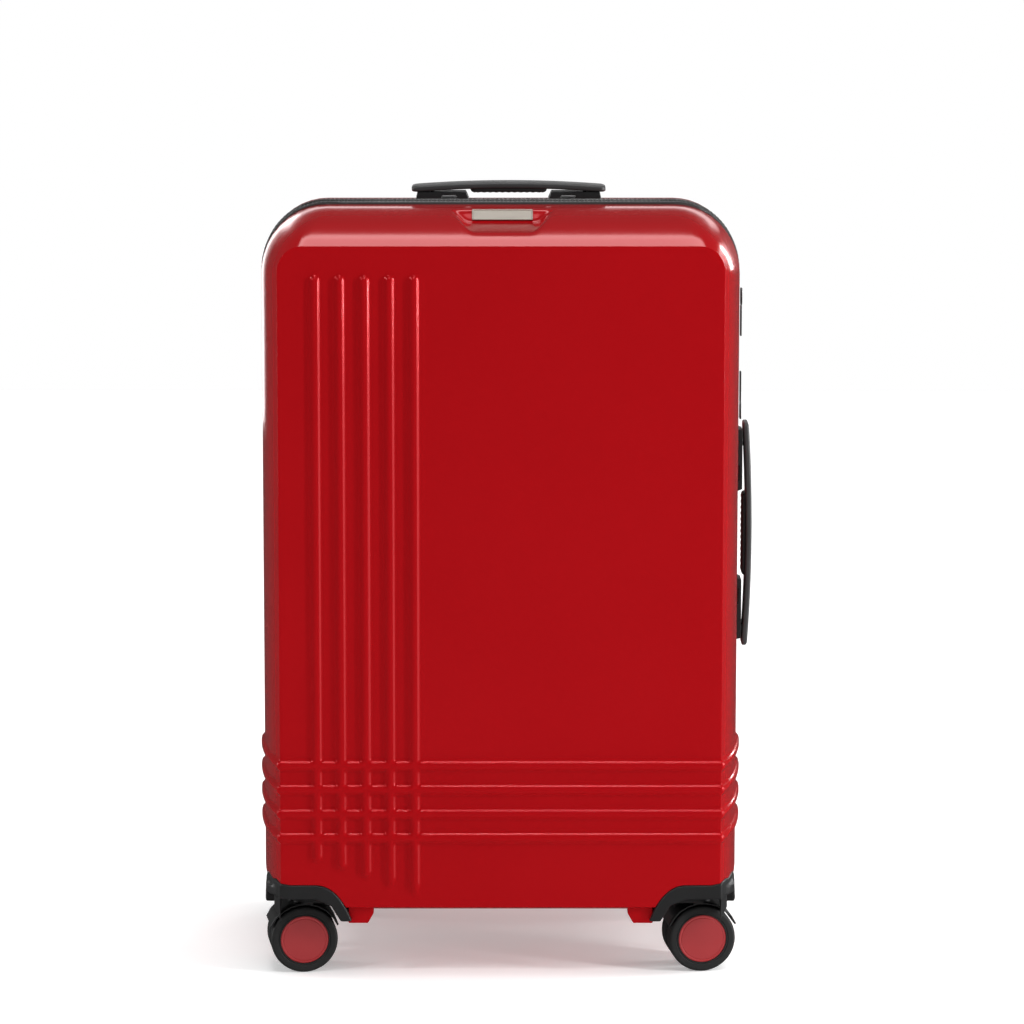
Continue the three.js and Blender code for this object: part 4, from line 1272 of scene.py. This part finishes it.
@dataclass
class Lining:
    """The woven lining of one half, with soft folds; sizes in millimetres."""

    half: Half
    finishes: Finishes
    skin: float = 3.4
    wall: float = 1.2
    cell: float = 4.0
    fold: float = 0.8
    start: float = 16.5
    false_floor: float = 96.8

    def build(self) -> bpy.types.Object:
        """Builds and dresses the lining."""
        depth = FORM.half_depth - self.skin if self.half is Half.FRONT else self.false_floor
        rings = []
        for ring_depth, draw_in in reversed(FORM.profile(self.start - 4, 8)):
            if ring_depth <= depth and draw_in <= 1:
                rings.append((ring_depth, draw_in))
        rings.append((depth, rings[-1][1]))
        seats = []
        for across, up, start in ((1, 1, 0), (-1, 1, 90), (-1, -1, 180), (1, -1, 270)):
            for i in range(9):
                turn = math.radians(start + 90 * i / 8)
                seats.append((across, up, abs(math.cos(turn)), abs(math.sin(turn))))
        vertices = [
            tuple(c * MM for c in FORM.place(seat, ring_depth, draw_in, self.half, -self.skin))
            for ring_depth, draw_in in rings
            for seat in seats
        ]
        count = len(seats)
        faces = [list(range(count)), list(range((len(rings) - 1) * count, len(rings) * count))]
        for r in range(len(rings) - 1):
            a, b = r * count, (r + 1) * count
            faces += [(a + i, a + (i + 1) % count, b + (i + 1) % count, b + i) for i in range(count)]
        obj = mesh_object("bag", vertices, faces)
        tidy_mesh(obj.data)
        for side in (-1, 1):
            obj = cut(obj, CornerRooms().cutter(self.half, side, self.skin))
        if self.half is Half.FRONT:
            x, y, low = FORM.middle_x + 1.5, (-140.0, -44.0), FORM.top - 10.5 - self.skin - 4
            obj = cut(obj, block([(x - 42) * MM, y[0] * MM, low * MM], [(x + 42) * MM, y[1] * MM, 0.7]))
        else:
            for node in ("trolley_bezel", "lock_body"):
                low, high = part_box(node)
                gap = self.skin * MM
                obj = cut(obj, block([v - gap for v in low], [v + gap for v in high]))
        fuse = obj.modifiers.new("fuse", "REMESH")
        fuse.mode, fuse.voxel_size = "VOXEL", self.cell * MM
        obj = bake_modifiers(obj)
        work = bmesh.new()
        work.from_mesh(obj.data)
        open_side = [f for f in work.faces if abs(f.calc_center_median().y) < self.start * MM]
        bmesh.ops.delete(work, geom=open_side, context="FACES")
        for vertex in work.verts:
            x, y, z = vertex.co
            wave = math.sin(x * 61 + 3 * math.sin(z * 23)) * math.sin(z * 47 + 2 * math.sin(x * 31))
            wave += 0.5 * math.sin(z * 95 + x * 70)
            vertex.co -= vertex.normal * (wave + 1.5) * self.fold * 0.5 * MM
        work.to_mesh(obj.data)
        work.free()
        wall = obj.modifiers.new("wall", "SOLIDIFY")
        wall.thickness, wall.offset = self.wall * MM, -1.0
        obj = bake_modifiers(obj)
        obj.name = f"{self.half.word}_lining_cloth"
        shade(obj, 60)
        return dress(obj, self.finishes.lining, self.half.body, [f"{self.half.word}_lining"])


# ------------------------------------------------------------------ name plate and handles


def round_box_ring(half_x: float, half_y: float, radius: float, steps: int = 6) -> list[tuple[float, float]]:
    """Points of a rounded rectangle about the origin, anticlockwise."""
    points = []
    for sx, sy, start in ((1, 1, 0), (-1, 1, 90), (-1, -1, 180), (1, -1, 270)):
        for i in range(steps + 1):
            turn = math.radians(start + 90 * i / steps)
            points.append((sx * (half_x - radius) + radius * math.cos(turn),
                           sy * (half_y - radius) + radius * math.sin(turn)))
    return points


def stacked(
    name: str, rings: Sequence[Sequence[tuple[float, float, float]]], place: Matrix
) -> bpy.types.Object:
    """Makes a closed solid through rings of millimetre points, flat at both ends.

    Args:
        name: The object's name.
        rings: Rings of equal point counts.
        place: Where it goes, applied to points in metres.

    Returns:
        The solid.
    """
    count = len(rings[0])
    vertices = [place @ (Vector(p) * MM) for ring in rings for p in ring]
    faces = [list(range(count)), list(range((len(rings) - 1) * count, len(rings) * count))]
    for r in range(len(rings) - 1):
        a, b = r * count, (r + 1) * count
        faces += [(a + i, a + (i + 1) % count, b + (i + 1) % count, b + i) for i in range(count)]
    obj = mesh_object(name, vertices, faces)
    tidy_mesh(obj.data, 1e-7)
    shade(obj, 40)
    return obj


@dataclass
class NamePlate:
    """The blank brushed plate in the scoop, with a raised border; sizes in millimetres."""

    finishes: Finishes
    length: float = 54.0
    height: float = 13.0
    thick: float = 1.2
    border: float = 1.1
    sunk: float = 0.45
    corner: float = 1.6
    bevel: float = 0.3
    least_corner: float = 0.35
    scoop_slope: tuple[float, float] = (10.5, 12.0)

    def build(self) -> None:
        """Builds and dresses the plate."""
        cad = NODES["name_plate"]
        corners = [cad.matrix_world @ v.co for v in cad.data.vertices]
        middle = sum(corners, Vector()) / len(corners)
        tilt = math.atan2(*self.scoop_slope)
        base = middle - Vector((0, -math.sin(tilt), math.cos(tilt))) * self.thick / 2 * MM
        place = Matrix.Translation(base) @ Matrix.Rotation(tilt, 4, "X")
        half_x, half_y = self.length / 2, self.height / 2
        face = self.thick - self.sunk
        section = ((0.0, 0.0), (0.0, self.thick - self.bevel), (self.bevel, self.thick), (self.border, self.thick),
                   (self.border + 0.25, face), (self.border + 1.2, face))
        rings = []
        for inset, z in section:
            ring = round_box_ring(half_x - inset, half_y - inset, max(self.corner - inset, self.least_corner))
            rings.append([(x, y, z) for x, y in ring])
        plate = stacked("name_plate_bordered", rings, place)
        dress(plate, self.finishes.plate, "front_half", ["name_plate"])


@dataclass
class CarryHandle:
    """A sprung carry handle: crowned grip, a near-black pad beneath it whose black is painted shade on the grip's
    underside, legs and two brackets; sizes in millimetres.
    """

    name: str
    length: float
    bracket_length: float
    tip: float
    place: Matrix
    brackets: tuple[str, str]
    finishes: Finishes
    width: float = 24.0
    thick: float = 5.4
    pad: float = 4.5
    crown: float = 16.5
    tip_crown: float = 13.0
    round_over: float = 1.9
    camber: float = 0.35
    end_round: float = 5.0
    finger_pitch: float = 5.5
    finger_depth: float = 0.22
    leg: tuple[float, float, float] = (3.0, 12.0, 15.0)
    steps: int = 48

    def crown_at(self, x: float) -> float:
        """The height of the grip's outer face above the case."""
        return self.tip_crown + (self.crown - self.tip_crown) * (1 - (2 * x / self.length) ** 2)

    def grip(self) -> bpy.types.Object:
        """The crowned outer grip with round ends."""
        half, rings = self.length / 2, []
        for i in range(self.steps + 1):
            share = -math.cos(math.pi * i / self.steps)
            x = half * share
            near = min(1.0, (half - abs(x)) / self.end_round)
            narrow = math.sqrt(max(1 - (1 - near) ** 2, 0.0))
            half_width = self.width / 2 * (0.62 + 0.38 * narrow)
            thick = self.thick * (0.45 + 0.55 * narrow)
            middle = self.crown_at(x) - self.thick / 2
            ring = round_box_ring(half_width, thick / 2, min(self.round_over, thick / 2 - 0.05), 5)
            placed = []
            for y, z in ring:
                rise = self.camber * (1 - (y / half_width) ** 2) if z > 0 else 0.0
                placed.append((x, y, middle + z + rise - self.camber))
            rings.append(placed)
        return stacked(f"{self.name}_grip_moulded", rings, self.place)

    def cushion(self) -> bpy.types.Object:
        """The near-black pad under the grip, ribbed for the fingers; its black is painted shade on the grip's
        underside.
        """
        reach = self.length / 2 - self.tip - self.bracket_length - 1
        high = self.crown - self.thick + 0.6
        rings = []
        for i in range(self.steps * 2 + 1):
            x = -reach + 2 * reach * i / (self.steps * 2)
            near = min(1.0, (reach - abs(x)) / self.end_round)
            full = math.sqrt(max(1 - (1 - near) ** 2, 0.0))
            wave = self.finger_depth * (1 - math.cos(2 * math.pi * x / self.finger_pitch)) * (near >= 1)
            low = high - 0.6 - (self.pad - 0.2) * (0.25 + 0.75 * full) + wave
            half_width = (self.width / 2 - 1.4) * (0.8 + 0.2 * full)
            ring = round_box_ring(half_width, (high - low) / 2, min(1.8, (high - low) / 2 - 0.05), 5)
            rings.append([(x, y, (high + low) / 2 + z) for y, z in ring])
        return stacked(f"{self.name}_pad", rings, self.place)

    def legs(self) -> bpy.types.Object:
        """The two flat legs that run into the brackets."""
        thick, wide, inward = self.leg
        made = []
        for side in (-1, 1):
            x = side * (self.length / 2 - self.tip - inward)
            ring = [(x + a, b) for a, b in round_box_ring(thick / 2, wide / 2, 1.2, 4)]
            rings = [[(a, b, z) for a, b in ring] for z in (1.0, self.crown_at(x) - 2.0)]
            made.append(stacked("leg", rings, self.place))
        return joined(f"{self.name}_legs", made)

    def build(self) -> None:
        """Builds and dresses the handle."""
        body = self.name
        dress(self.grip(), self.finishes.grip, body, [f"{self.name}_grip"])
        # the pad's near-black finish is painted shade under the grip
        dress(self.cushion(), self.finishes.pad, body)
        dress(self.legs(), self.finishes.black, body)
        for side in self.brackets:
            node = f"{self.name}_bracket_{side}"
            dress(softened(node, 0.0005, 4), self.finishes.housing, "back_half", [node])


# ------------------------------------------------------------------ trolley handle and lock


def merged_copy(node: str, name: str, width: float, segments: int = 3) -> bpy.types.Object:
    """Copies a CAD node with its flat faces whole and its edges rounded.

    Args:
        node: The CAD node.
        name: The new piece's name.
        width: The rounding's width in metres.
        segments: Steps across each rounding.

    Returns:
        The rounded copy.
    """
    mesh = NODES[node].data.copy()
    mesh.materials.clear()
    work = bmesh.new()
    work.from_mesh(mesh)
    bmesh.ops.remove_doubles(work, verts=work.verts, dist=2e-6)
    bmesh.ops.dissolve_limit(work, angle_limit=math.radians(3), verts=work.verts, edges=work.edges)
    work.to_mesh(mesh)
    work.free()
    return rounded(link(name, mesh), width, segments)


@dataclass
class TrolleyHandle:
    """The two-stage tube handle: bezel, grip, button, tubes and foot."""

    finishes: Finishes
    edge: float = 0.0008

    def build(self) -> None:
        """Builds and dresses the handle."""
        f = self.finishes
        bezel = softened("trolley_bezel", 0.0009, 4)
        dress(bezel, f.housing, "back_half", ["trolley_bezel"])
        grip = softened("trolley_grip", 0.0006, 3)
        dress(grip, f.black, "trolley_upper", ["trolley_grip"])
        button = merged_copy("trolley_button", "trolley_button_moulded", 0.0008)
        dress(button, f.grip, "trolley_push_button", ["trolley_button"])
        foot = merged_copy("trolley_base", "trolley_base_moulded", 0.0012)
        dress(foot, f.black, "back_half", ["trolley_base"])
        for stage in ("outer", "mid", "inner"):
            for side in ("left", "right"):
                node = f"trolley_{stage}_tube_{side}"
                piece = merged_copy(node, f"{node}_drawn", self.edge)
                dress(piece, f.tube, BODY_OF[node], [node])


@dataclass
class Lock:
    """The three-dial lock with its release, keyhole and fixings; sizes in millimetres."""

    finishes: Finishes
    dials: int = 3
    dial_radius: float = 5.4
    dial_width: float = 4.6
    knurl: Row = Row(Unit.TOOTH, pitch=1.7, length=0.75, width=3.8, height=0.6)
    ridge_seat: float = 0.35
    bevel: float = 0.6
    path_steps: int = 60
    fixing: tuple[tuple[float, float], ...] = (
        (0.0, -0.8), (2.1, -0.8), (2.1, 0.2), (1.6, 0.4), (0.7, 0.4), (0.0, -0.1),
    )
    fixing_from_end: float = 5.5
    keyway: tuple[tuple[float, float], ...] = (
        (0.0, -0.8), (3.6, -0.8), (3.6, 0.25), (3.1, 0.5), (1.4, 0.5), (1.0, -0.4), (0.0, -0.4),
    )
    keyway_above: float = 37.5

    def dial(self, number: int) -> None:
        """One dial: a bevelled wheel with fine ridges."""
        node = f"lock_dial_{number}"
        low, high = (Vector(v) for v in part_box(node))
        middle, half = (low + high) / 2, self.dial_width / 2
        r, b = self.dial_radius - self.ridge_seat, self.bevel
        profile = [(0.0, -half), (r - b, -half), (r, -half + b), (r, half - b), (r - b, half), (0.0, half)]
        wheel = lathe("wheel", [(x * MM, z * MM) for x, z in profile], 40, Matrix.Translation(middle))
        turns = [2 * math.pi * i / self.path_steps for i in range(self.path_steps)]
        path = [(r * MM * math.cos(turn), 0.0, r * MM * math.sin(turn)) for turn in turns]
        ridges = self.knurl.build("ridges", path, self.finishes.lock)
        ridges.data.transform(Matrix.Translation(middle) @ Matrix.Rotation(math.pi / 2, 4, "X"))
        dress(joined(f"{node}_ridged", [wheel, ridges]), self.finishes.lock, node, [node])

    def build(self) -> None:
        """Builds and dresses the lock."""
        body = softened("lock_body", 0.0005, 4)
        dress(body, self.finishes.housing, "back_half", ["lock_body"])
        for number in range(1, self.dials + 1):
            self.dial(number)
        release = merged_copy("lock_release", "lock_release_bevelled", 0.0006)
        dress(release, self.finishes.lock, "lock_release", ["lock_release"])
        low, high = (Vector(v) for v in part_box("lock_body"))
        face = Matrix.Rotation(math.pi / 2, 4, "Y")
        middle_y, inward = (low.y + high.y) / 2, self.fixing_from_end * MM
        trims = []
        for name, profile, steps, z in (
            ("fixing", self.fixing, 24, low.z + inward),
            ("fixing", self.fixing, 24, high.z - inward),
            ("keyway", self.keyway, 32, low.z + self.keyway_above * MM),
        ):
            place = Matrix.Translation((high.x, middle_y, z)) @ face
            trims.append(lathe(name, [(a * MM, b * MM) for a, b in profile], steps, place))
        dress(joined("lock_fixings", trims), self.finishes.lock, "back_half")
        for side in ("upper", "lower"):
            slider = merged_copy(f"zip_slider_{side}", f"zip_slider_{side}_cast", 0.00045)
            dress(slider, self.finishes.lock, "back_half", [f"zip_slider_{side}"])
            puller = merged_copy(f"zip_puller_{side}", f"zip_puller_{side}_cast", 0.0004)
            dress(puller, self.finishes.lock, f"zip_puller_{side}", [f"zip_puller_{side}"])


# ------------------------------------------------------------------ casters


@dataclass
class Caster:
    """One corner's housing, swivel fork and pair of capped wheels; sizes in millimetres."""

    corner: str
    finishes: Finishes
    radius: float = 30.0
    width: float = 16.5
    bore: float = 3.35
    cap_radius: float = 21.5
    cap_thick: float = 2.0
    tread_round: float = 2.6
    grooves: tuple[float, float] = (-2.6, 2.6)
    steps: int = 72

    def seat(self, node: str, wheel: str, other: str) -> Matrix:
        """The place of a wheel or cap: its middle, with local Z pointing out of the pair."""
        middle, near, far = (
            sum((Vector(v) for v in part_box(name)), Vector()) / 2 for name in (node, wheel, other)
        )
        out = (near - far).normalized()
        return Matrix.Translation(middle) @ out.to_track_quat("Z", "X").to_matrix().to_4x4()

    def tyre(self, label: str) -> None:
        """One wheel: rounded tread with two grooves, a dished side and a hub."""
        node, other = (f"caster_wheel_{self.corner}_{x}" for x in (label, "b" if label == "a" else "a"))
        r, h, cap, bend = self.radius, self.width / 2, self.cap_radius, self.tread_round
        profile = [(self.bore, -h), (12.0, -h), (14.0, -h + 1.0)]
        profile += [(r - 7, -h + 1.0), (r - 5.5, -h), (r - bend, -h)]
        for t in np.linspace(0.2, math.pi / 2, 6):
            profile.append((r - bend + bend * math.sin(t), -h + bend - bend * math.cos(t)))
        for z in self.grooves:
            profile += [(r, z - 0.8), (r - 0.9, z - 0.55), (r - 0.9, z + 0.55), (r, z + 0.8)]
        for t in np.linspace(0.0, 1.37, 6):
            profile.append((r - bend + bend * math.cos(t), h - bend + bend * math.sin(t)))
        profile += [(r - 2.8, h), (cap + 2.4, h), (cap + 2.0, h - 0.5), (cap + 1.4, h - 0.5)]
        profile += [(cap + 1.1, h - 0.1), (cap + 0.3, h - 0.1), (cap + 0.3, h - 2.3), (self.bore, h - 2.3)]
        place = self.seat(node, node, other)
        wheel = lathe(f"{node}_treaded", [(a * MM, b * MM) for a, b in profile], self.steps, place)
        dress(wheel, self.finishes.tyre, BODY_OF[node], [node])

    def cap(self, label: str) -> None:
        """One hub cap: a shallow dome with a stepped rim."""
        node = f"hub_cap_{self.corner}_{label}"
        wheel, other = (f"caster_wheel_{self.corner}_{x}" for x in (label, "b" if label == "a" else "a"))
        r, h = self.cap_radius, self.cap_thick / 2
        profile = [(0.0, -h), (r, -h), (r, h - 0.55), (r - 0.25, h - 0.3), (r - 0.6, h - 0.2)]
        profile += [(r - 1.9, h - 0.2), (r - 2.2, h - 0.45), (r - 2.6, h - 0.45), (r - 2.9, h - 0.15)]
        profile += [(x, h - 0.15 + 0.15 * (1 - (x / (r - 2.9)) ** 2)) for x in (15.0, 11.0, 7.0, 3.5, 0.0)]
        place = self.seat(node, wheel, other)
        disc = lathe(f"{node}_domed", [(a * MM, b * MM) for a, b in profile], self.steps, place)
        dress(disc, self.finishes.cap, BODY_OF[node], [node])

    def build(self) -> None:
        """Builds and dresses the corner."""
        housing, yoke, axle = (f"caster_{part}_{self.corner}" for part in ("housing", "yoke", "axle"))
        for node, voxel, rounds, finish in (
            (housing, 0.0011, 5, self.finishes.housing),
            (yoke, 0.001, 4, self.finishes.black),
        ):
            dress(softened(node, voxel, rounds), finish, BODY_OF[node], [node])
        rod = merged_copy(axle, f"{axle}_turned", 0.0005, 2)
        dress(rod, self.finishes.steel, BODY_OF[axle], [axle])
        for label in ("a", "b"):
            self.tyre(label)
            self.cap(label)


# ------------------------------------------------------------------ inside and hinge side


@dataclass
class Gusset:
    """The woven strip that joins the halves on the hinge side; sizes in millimetres."""

    finishes: Finishes
    low: float = 150.0
    high: float = 600.0
    reach: float = 11.0
    thick: float = 0.7
    inward: float = 9.6
    bend: float = 5.0
    middle: float = 400.0
    steps: int = 22

    def build(self) -> None:
        """Builds the straight strip across the opening."""
        x = -FORM.half_width - FORM.zip_proud + self.inward + FORM.middle_x
        section = [(x, self.low), (x + self.thick, self.low), (x + self.thick, self.high), (x, self.high)]
        depths = np.linspace(-self.reach, self.reach, self.steps + 1)
        rings = [[(a, depth, z) for a, z in section] for depth in depths]
        strip = stacked("hinge_gusset", rings, Matrix.Identity(4))
        strip.data.materials.append(self.finishes.webbing)
        start, end = ((x * MM, side * self.bend * MM, self.middle * MM) for side in (1, -1))
        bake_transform(strip)
        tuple(start)
        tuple(end)
        log.info("%s bends between the halves", strip.name)


@dataclass
class PackingStraps:
    """Two crossed packing straps with a buckle inside one half; sizes in millimetres."""

    half: Half
    finishes: Finishes
    width: float = 25.0
    thick: float = 1.2
    depth: float = 24.0
    sag: float = 9.0
    reach_x: float = 205.5
    heights: tuple[float, float] = (250.0, 480.0)
    lift_span: float = 9.0
    steps: int = 40

    def strap(self, name: str, start: Sequence[float], end: Sequence[float], lift: float) -> bpy.types.Object:
        """One strap between two anchors, sagging a little into the case."""
        a, b = Vector(start), Vector(end)
        run = (b - a).normalized()
        side = run.cross(Vector((0, 1, 0))).normalized()
        rings = []
        for i in range(self.steps + 1):
            t = i / self.steps
            middle = a.lerp(b, t)
            over = lift * math.exp(-((t - 0.5) * self.lift_span) ** 2)
            middle.y += self.half.value * (self.sag * math.sin(math.pi * t) + over)
            ring = []
            for across, up in round_box_ring(self.width / 2, self.thick / 2, self.thick / 2 - 0.05, 3):
                ring.append(tuple(middle + side * across + Vector((0, up, 0))))
            rings.append(ring)
        return stacked(name, rings, Matrix.Translation((FORM.middle_x * MM, 0, 0)))

    def build(self) -> None:
        """Builds and dresses the straps and their buckle."""
        y = self.half.value * self.depth
        low, high = self.heights
        reach = self.reach_x
        for name, ends, lift in (("rising", (low, high), 0.0), ("falling", (high, low), 3.2)):
            start, end = (-reach, y, ends[0]), (reach, y, ends[1])
            piece = self.strap(f"{self.half.word}_strap_{name}", start, end, lift)
            dress(piece, self.finishes.webbing, self.half.body)
        rings = []
        for z, inset in ((-3.0, 1.2), (-2.2, 0.0), (2.2, 0.0), (3.0, 1.2)):
            rings.append([(a, z, b) for a, b in round_box_ring(24 - inset, 19 - inset, 6 - inset / 2, 6)])
        centre = Vector((FORM.middle_x, y + self.half.value * (self.sag + 1.6), (low + high) / 2)) * MM
        buckle = stacked(f"{self.half.word}_strap_buckle", rings, Matrix.Translation(centre))
        dress(buckle, self.finishes.housing, self.half.body)


# ------------------------------------------------------------------ floor, light and camera


@dataclass(frozen=True)
class Lamp:
    """One soft rectangular light; sizes in metres and watts."""

    name: str
    at: tuple[float, float, float]
    aim_height: float
    size: tuple[float, float]
    watts: float

    def place(self) -> None:
        """Adds the light, aimed at the case's middle line."""
        data = bpy.data.lights.new(self.name, "AREA")
        data.shape, data.size, data.size_y, data.energy = "RECTANGLE", *self.size, self.watts
        lamp = link(self.name, data)
        lamp.location = self.at
        aim = Vector((0, 0, self.aim_height)) - Vector(self.at)
        lamp.rotation_euler = aim.to_track_quat("-Z", "Y").to_euler()
        lamp.visible_camera = False


LAMPS = (
    Lamp("key", (-2.5, -1.6, 2.2), 0.4, (0.5, 0.5), 20),
    Lamp("overhead", (0.0, -0.1, 2.6), 0.6, (0.8, 0.5), 3.6),
    Lamp("front_high", (0.0, -1.5, 2.7), 0.3, (1.4, 0.14), 12),
    Lamp("rear_high", (0.1, 1.7, 2.9), 0.6, (1.6, 0.55), 9),
    Lamp("rear_low", (0.0, 4.2, 1.35), 0.65, (2.6, 0.5), 6),
    Lamp("left_side", (-2.2, 0.5, 0.7), 0.35, (0.3, 1.3), 14),
    Lamp("right_side", (2.2, 0.3, 0.8), 0.35, (0.3, 1.3), 20),
    Lamp("right_front", (2.0, -0.9, 0.9), 0.4, (0.14, 1.3), 30),
    Lamp("left_rear", (-0.9, 3.6, 0.6), 0.35, (0.3, 1.4), 4),
    Lamp("right_rear", (1.5, 2.6, 0.9), 0.35, (0.16, 1.0), 9),
)


@dataclass
class Studio:
    """A pale floor, soft light and the camera."""

    floor_size: float = 6.8
    sky_level: float = 1.6
    sky_angle: float = 50.0
    sky_tilt: float = 12.0
    floor_glow: float = 0.3
    surround: float = 1.0
    shade_level: float = 0.2
    mirror_level: float = 0.06
    strip_turn: float = 78.0
    strip_level: float = 2.2
    strip_edge: tuple[float, float] = (0.93, 0.99)
    camera_at: tuple[float, float, float] = (-0.022, -4.141, 1.1265)
    pitch: float = 81.0
    lens: float = 162.8
    shift: tuple[float, float] = (0.0276, -0.078)

    def floor(self) -> None:
        """Lays the pale floor."""
        half = self.floor_size / 2
        corners = [(-half, -half, 0), (half, -half, 0), (half, half, 0), (-half, half, 0)]
        plane = mesh_object("floor", corners, [(0, 1, 2, 3)])
        material, w, shader, place = new_material("pale_floor")
        mottle = w.node("ShaderNodeTexNoise", {"Vector": place, "Scale": 3.0, "Detail": 2.0})
        colour = tint(w, mottle.outputs["Fac"], (0.86,) * 3, (0.9,) * 3)
        w.tree.links.new(colour, shader.inputs["Base Color"])
        shader.inputs["Emission Color"].default_value = (1, 1, 1, 1)
        shader.inputs["Emission Strength"].default_value = self.floor_glow
        shader.inputs["Roughness"].default_value = 0.9
        shader.inputs["Specular IOR Level"].default_value = 0.1
        plane.data.materials.append(material)
        plane.visible_glossy = False

    def world(self) -> None:
        """Surrounds the scene with white that lights it only gently, and gives the gloss one tall bright strip."""
        world = bpy.data.worlds.new("surround")
        bpy.context.scene.world = world
        world.use_nodes = True
        w = Wiring(world.node_tree)
        back = next(n for n in world.node_tree.nodes if n.type == "BACKGROUND")
        seen = w.node("ShaderNodeLightPath").outputs["Is Camera Ray"]
        mirrored = w.node("ShaderNodeLightPath").outputs["Is Glossy Ray"]
        way = w.node("ShaderNodeTexCoord").outputs["Generated"]
        turn = math.radians(self.strip_turn)
        towards = (math.sin(turn), -math.cos(turn), 0.0)
        facing = w.node("ShaderNodeVectorMath", {0: way, 1: towards}, operation="DOT_PRODUCT")
        strip = w.node(
            "ShaderNodeMapRange",
            {
                "Value": facing.outputs["Value"],
                "From Min": self.strip_edge[0],
                "From Max": self.strip_edge[1],
                "To Min": self.mirror_level,
                "To Max": self.strip_level,
            },
        )
        other = w.node("ShaderNodeMix", data_type="FLOAT")
        w.tree.links.new(mirrored, other.inputs["Factor"])
        other.inputs["A"].default_value = self.shade_level
        w.tree.links.new(strip.outputs["Result"], other.inputs["B"])
        other = other.outputs["Result"]
        level = w.node("ShaderNodeMix", data_type="FLOAT")
        w.tree.links.new(seen, level.inputs["Factor"])
        w.tree.links.new(other, level.inputs["A"])
        level.inputs["B"].default_value = self.surround
        w.tree.links.new(level.outputs["Result"], back.inputs["Strength"])
        back.inputs["Color"].default_value = (1, 1, 1, 1)

    def build(self) -> None:
        """Sets up the floor, the lights and the camera."""
        self.floor()
        self.world()
        for lamp in LAMPS:
            lamp.place()
        sky = bpy.data.lights.new("skylight", "SUN")
        sky.energy, sky.angle = self.sky_level, math.radians(self.sky_angle)
        daylight = link("skylight", sky)
        daylight.rotation_euler = (0.0, math.radians(self.sky_tilt), 0.0)
        daylight.visible_glossy = False
        bpy.context.scene.view_settings.view_transform = "Standard"
        data = bpy.data.cameras.new("camera")
        data.lens, data.sensor_width = self.lens, 36.0
        data.shift_x, data.shift_y = self.shift
        camera = link("camera", data)
        camera.location = self.camera_at
        camera.rotation_euler = (math.radians(self.pitch), 0, 0)
        bpy.context.scene.camera = camera


def main() -> None:
    """Builds the suitcase, its floor and its light."""
    logging.basicConfig(level=logging.INFO, format="%(name)s %(message)s")
    finishes = Finishes.build()
    Studio().build()
    for half in Half:
        Shell(half, finishes).build()
        ZipTape(half, finishes).build()
        Lining(half, finishes).build()
    PackingStraps(Half.BACK, finishes).build()
    Gusset(finishes).build()
    NamePlate(finishes).build()
    middle = FORM.middle_x * MM
    top = Matrix.Translation((middle + TOP_HANDLE_X * MM, HANDLE_Y * MM, FORM.top * MM))
    CarryHandle("top_handle", 175.0, 48.3, 3.6, top, ("left", "right"), finishes).build()
    seat = Matrix.Translation((middle + FORM.half_width * MM, HANDLE_Y * MM, SIDE_HANDLE_Z * MM))
    side = seat @ Matrix.Rotation(math.pi / 2, 4, "Y")
    CarryHandle("side_handle", 207.0, 58.8, 5.6, side, ("upper", "lower"), finishes).build()
    TrolleyHandle(finishes).build()
    Lock(finishes).build()
    for corner in ("front_left", "front_right", "back_left", "back_right"):
        Caster(corner, finishes).build()


if __name__ == "__main__":
    main()
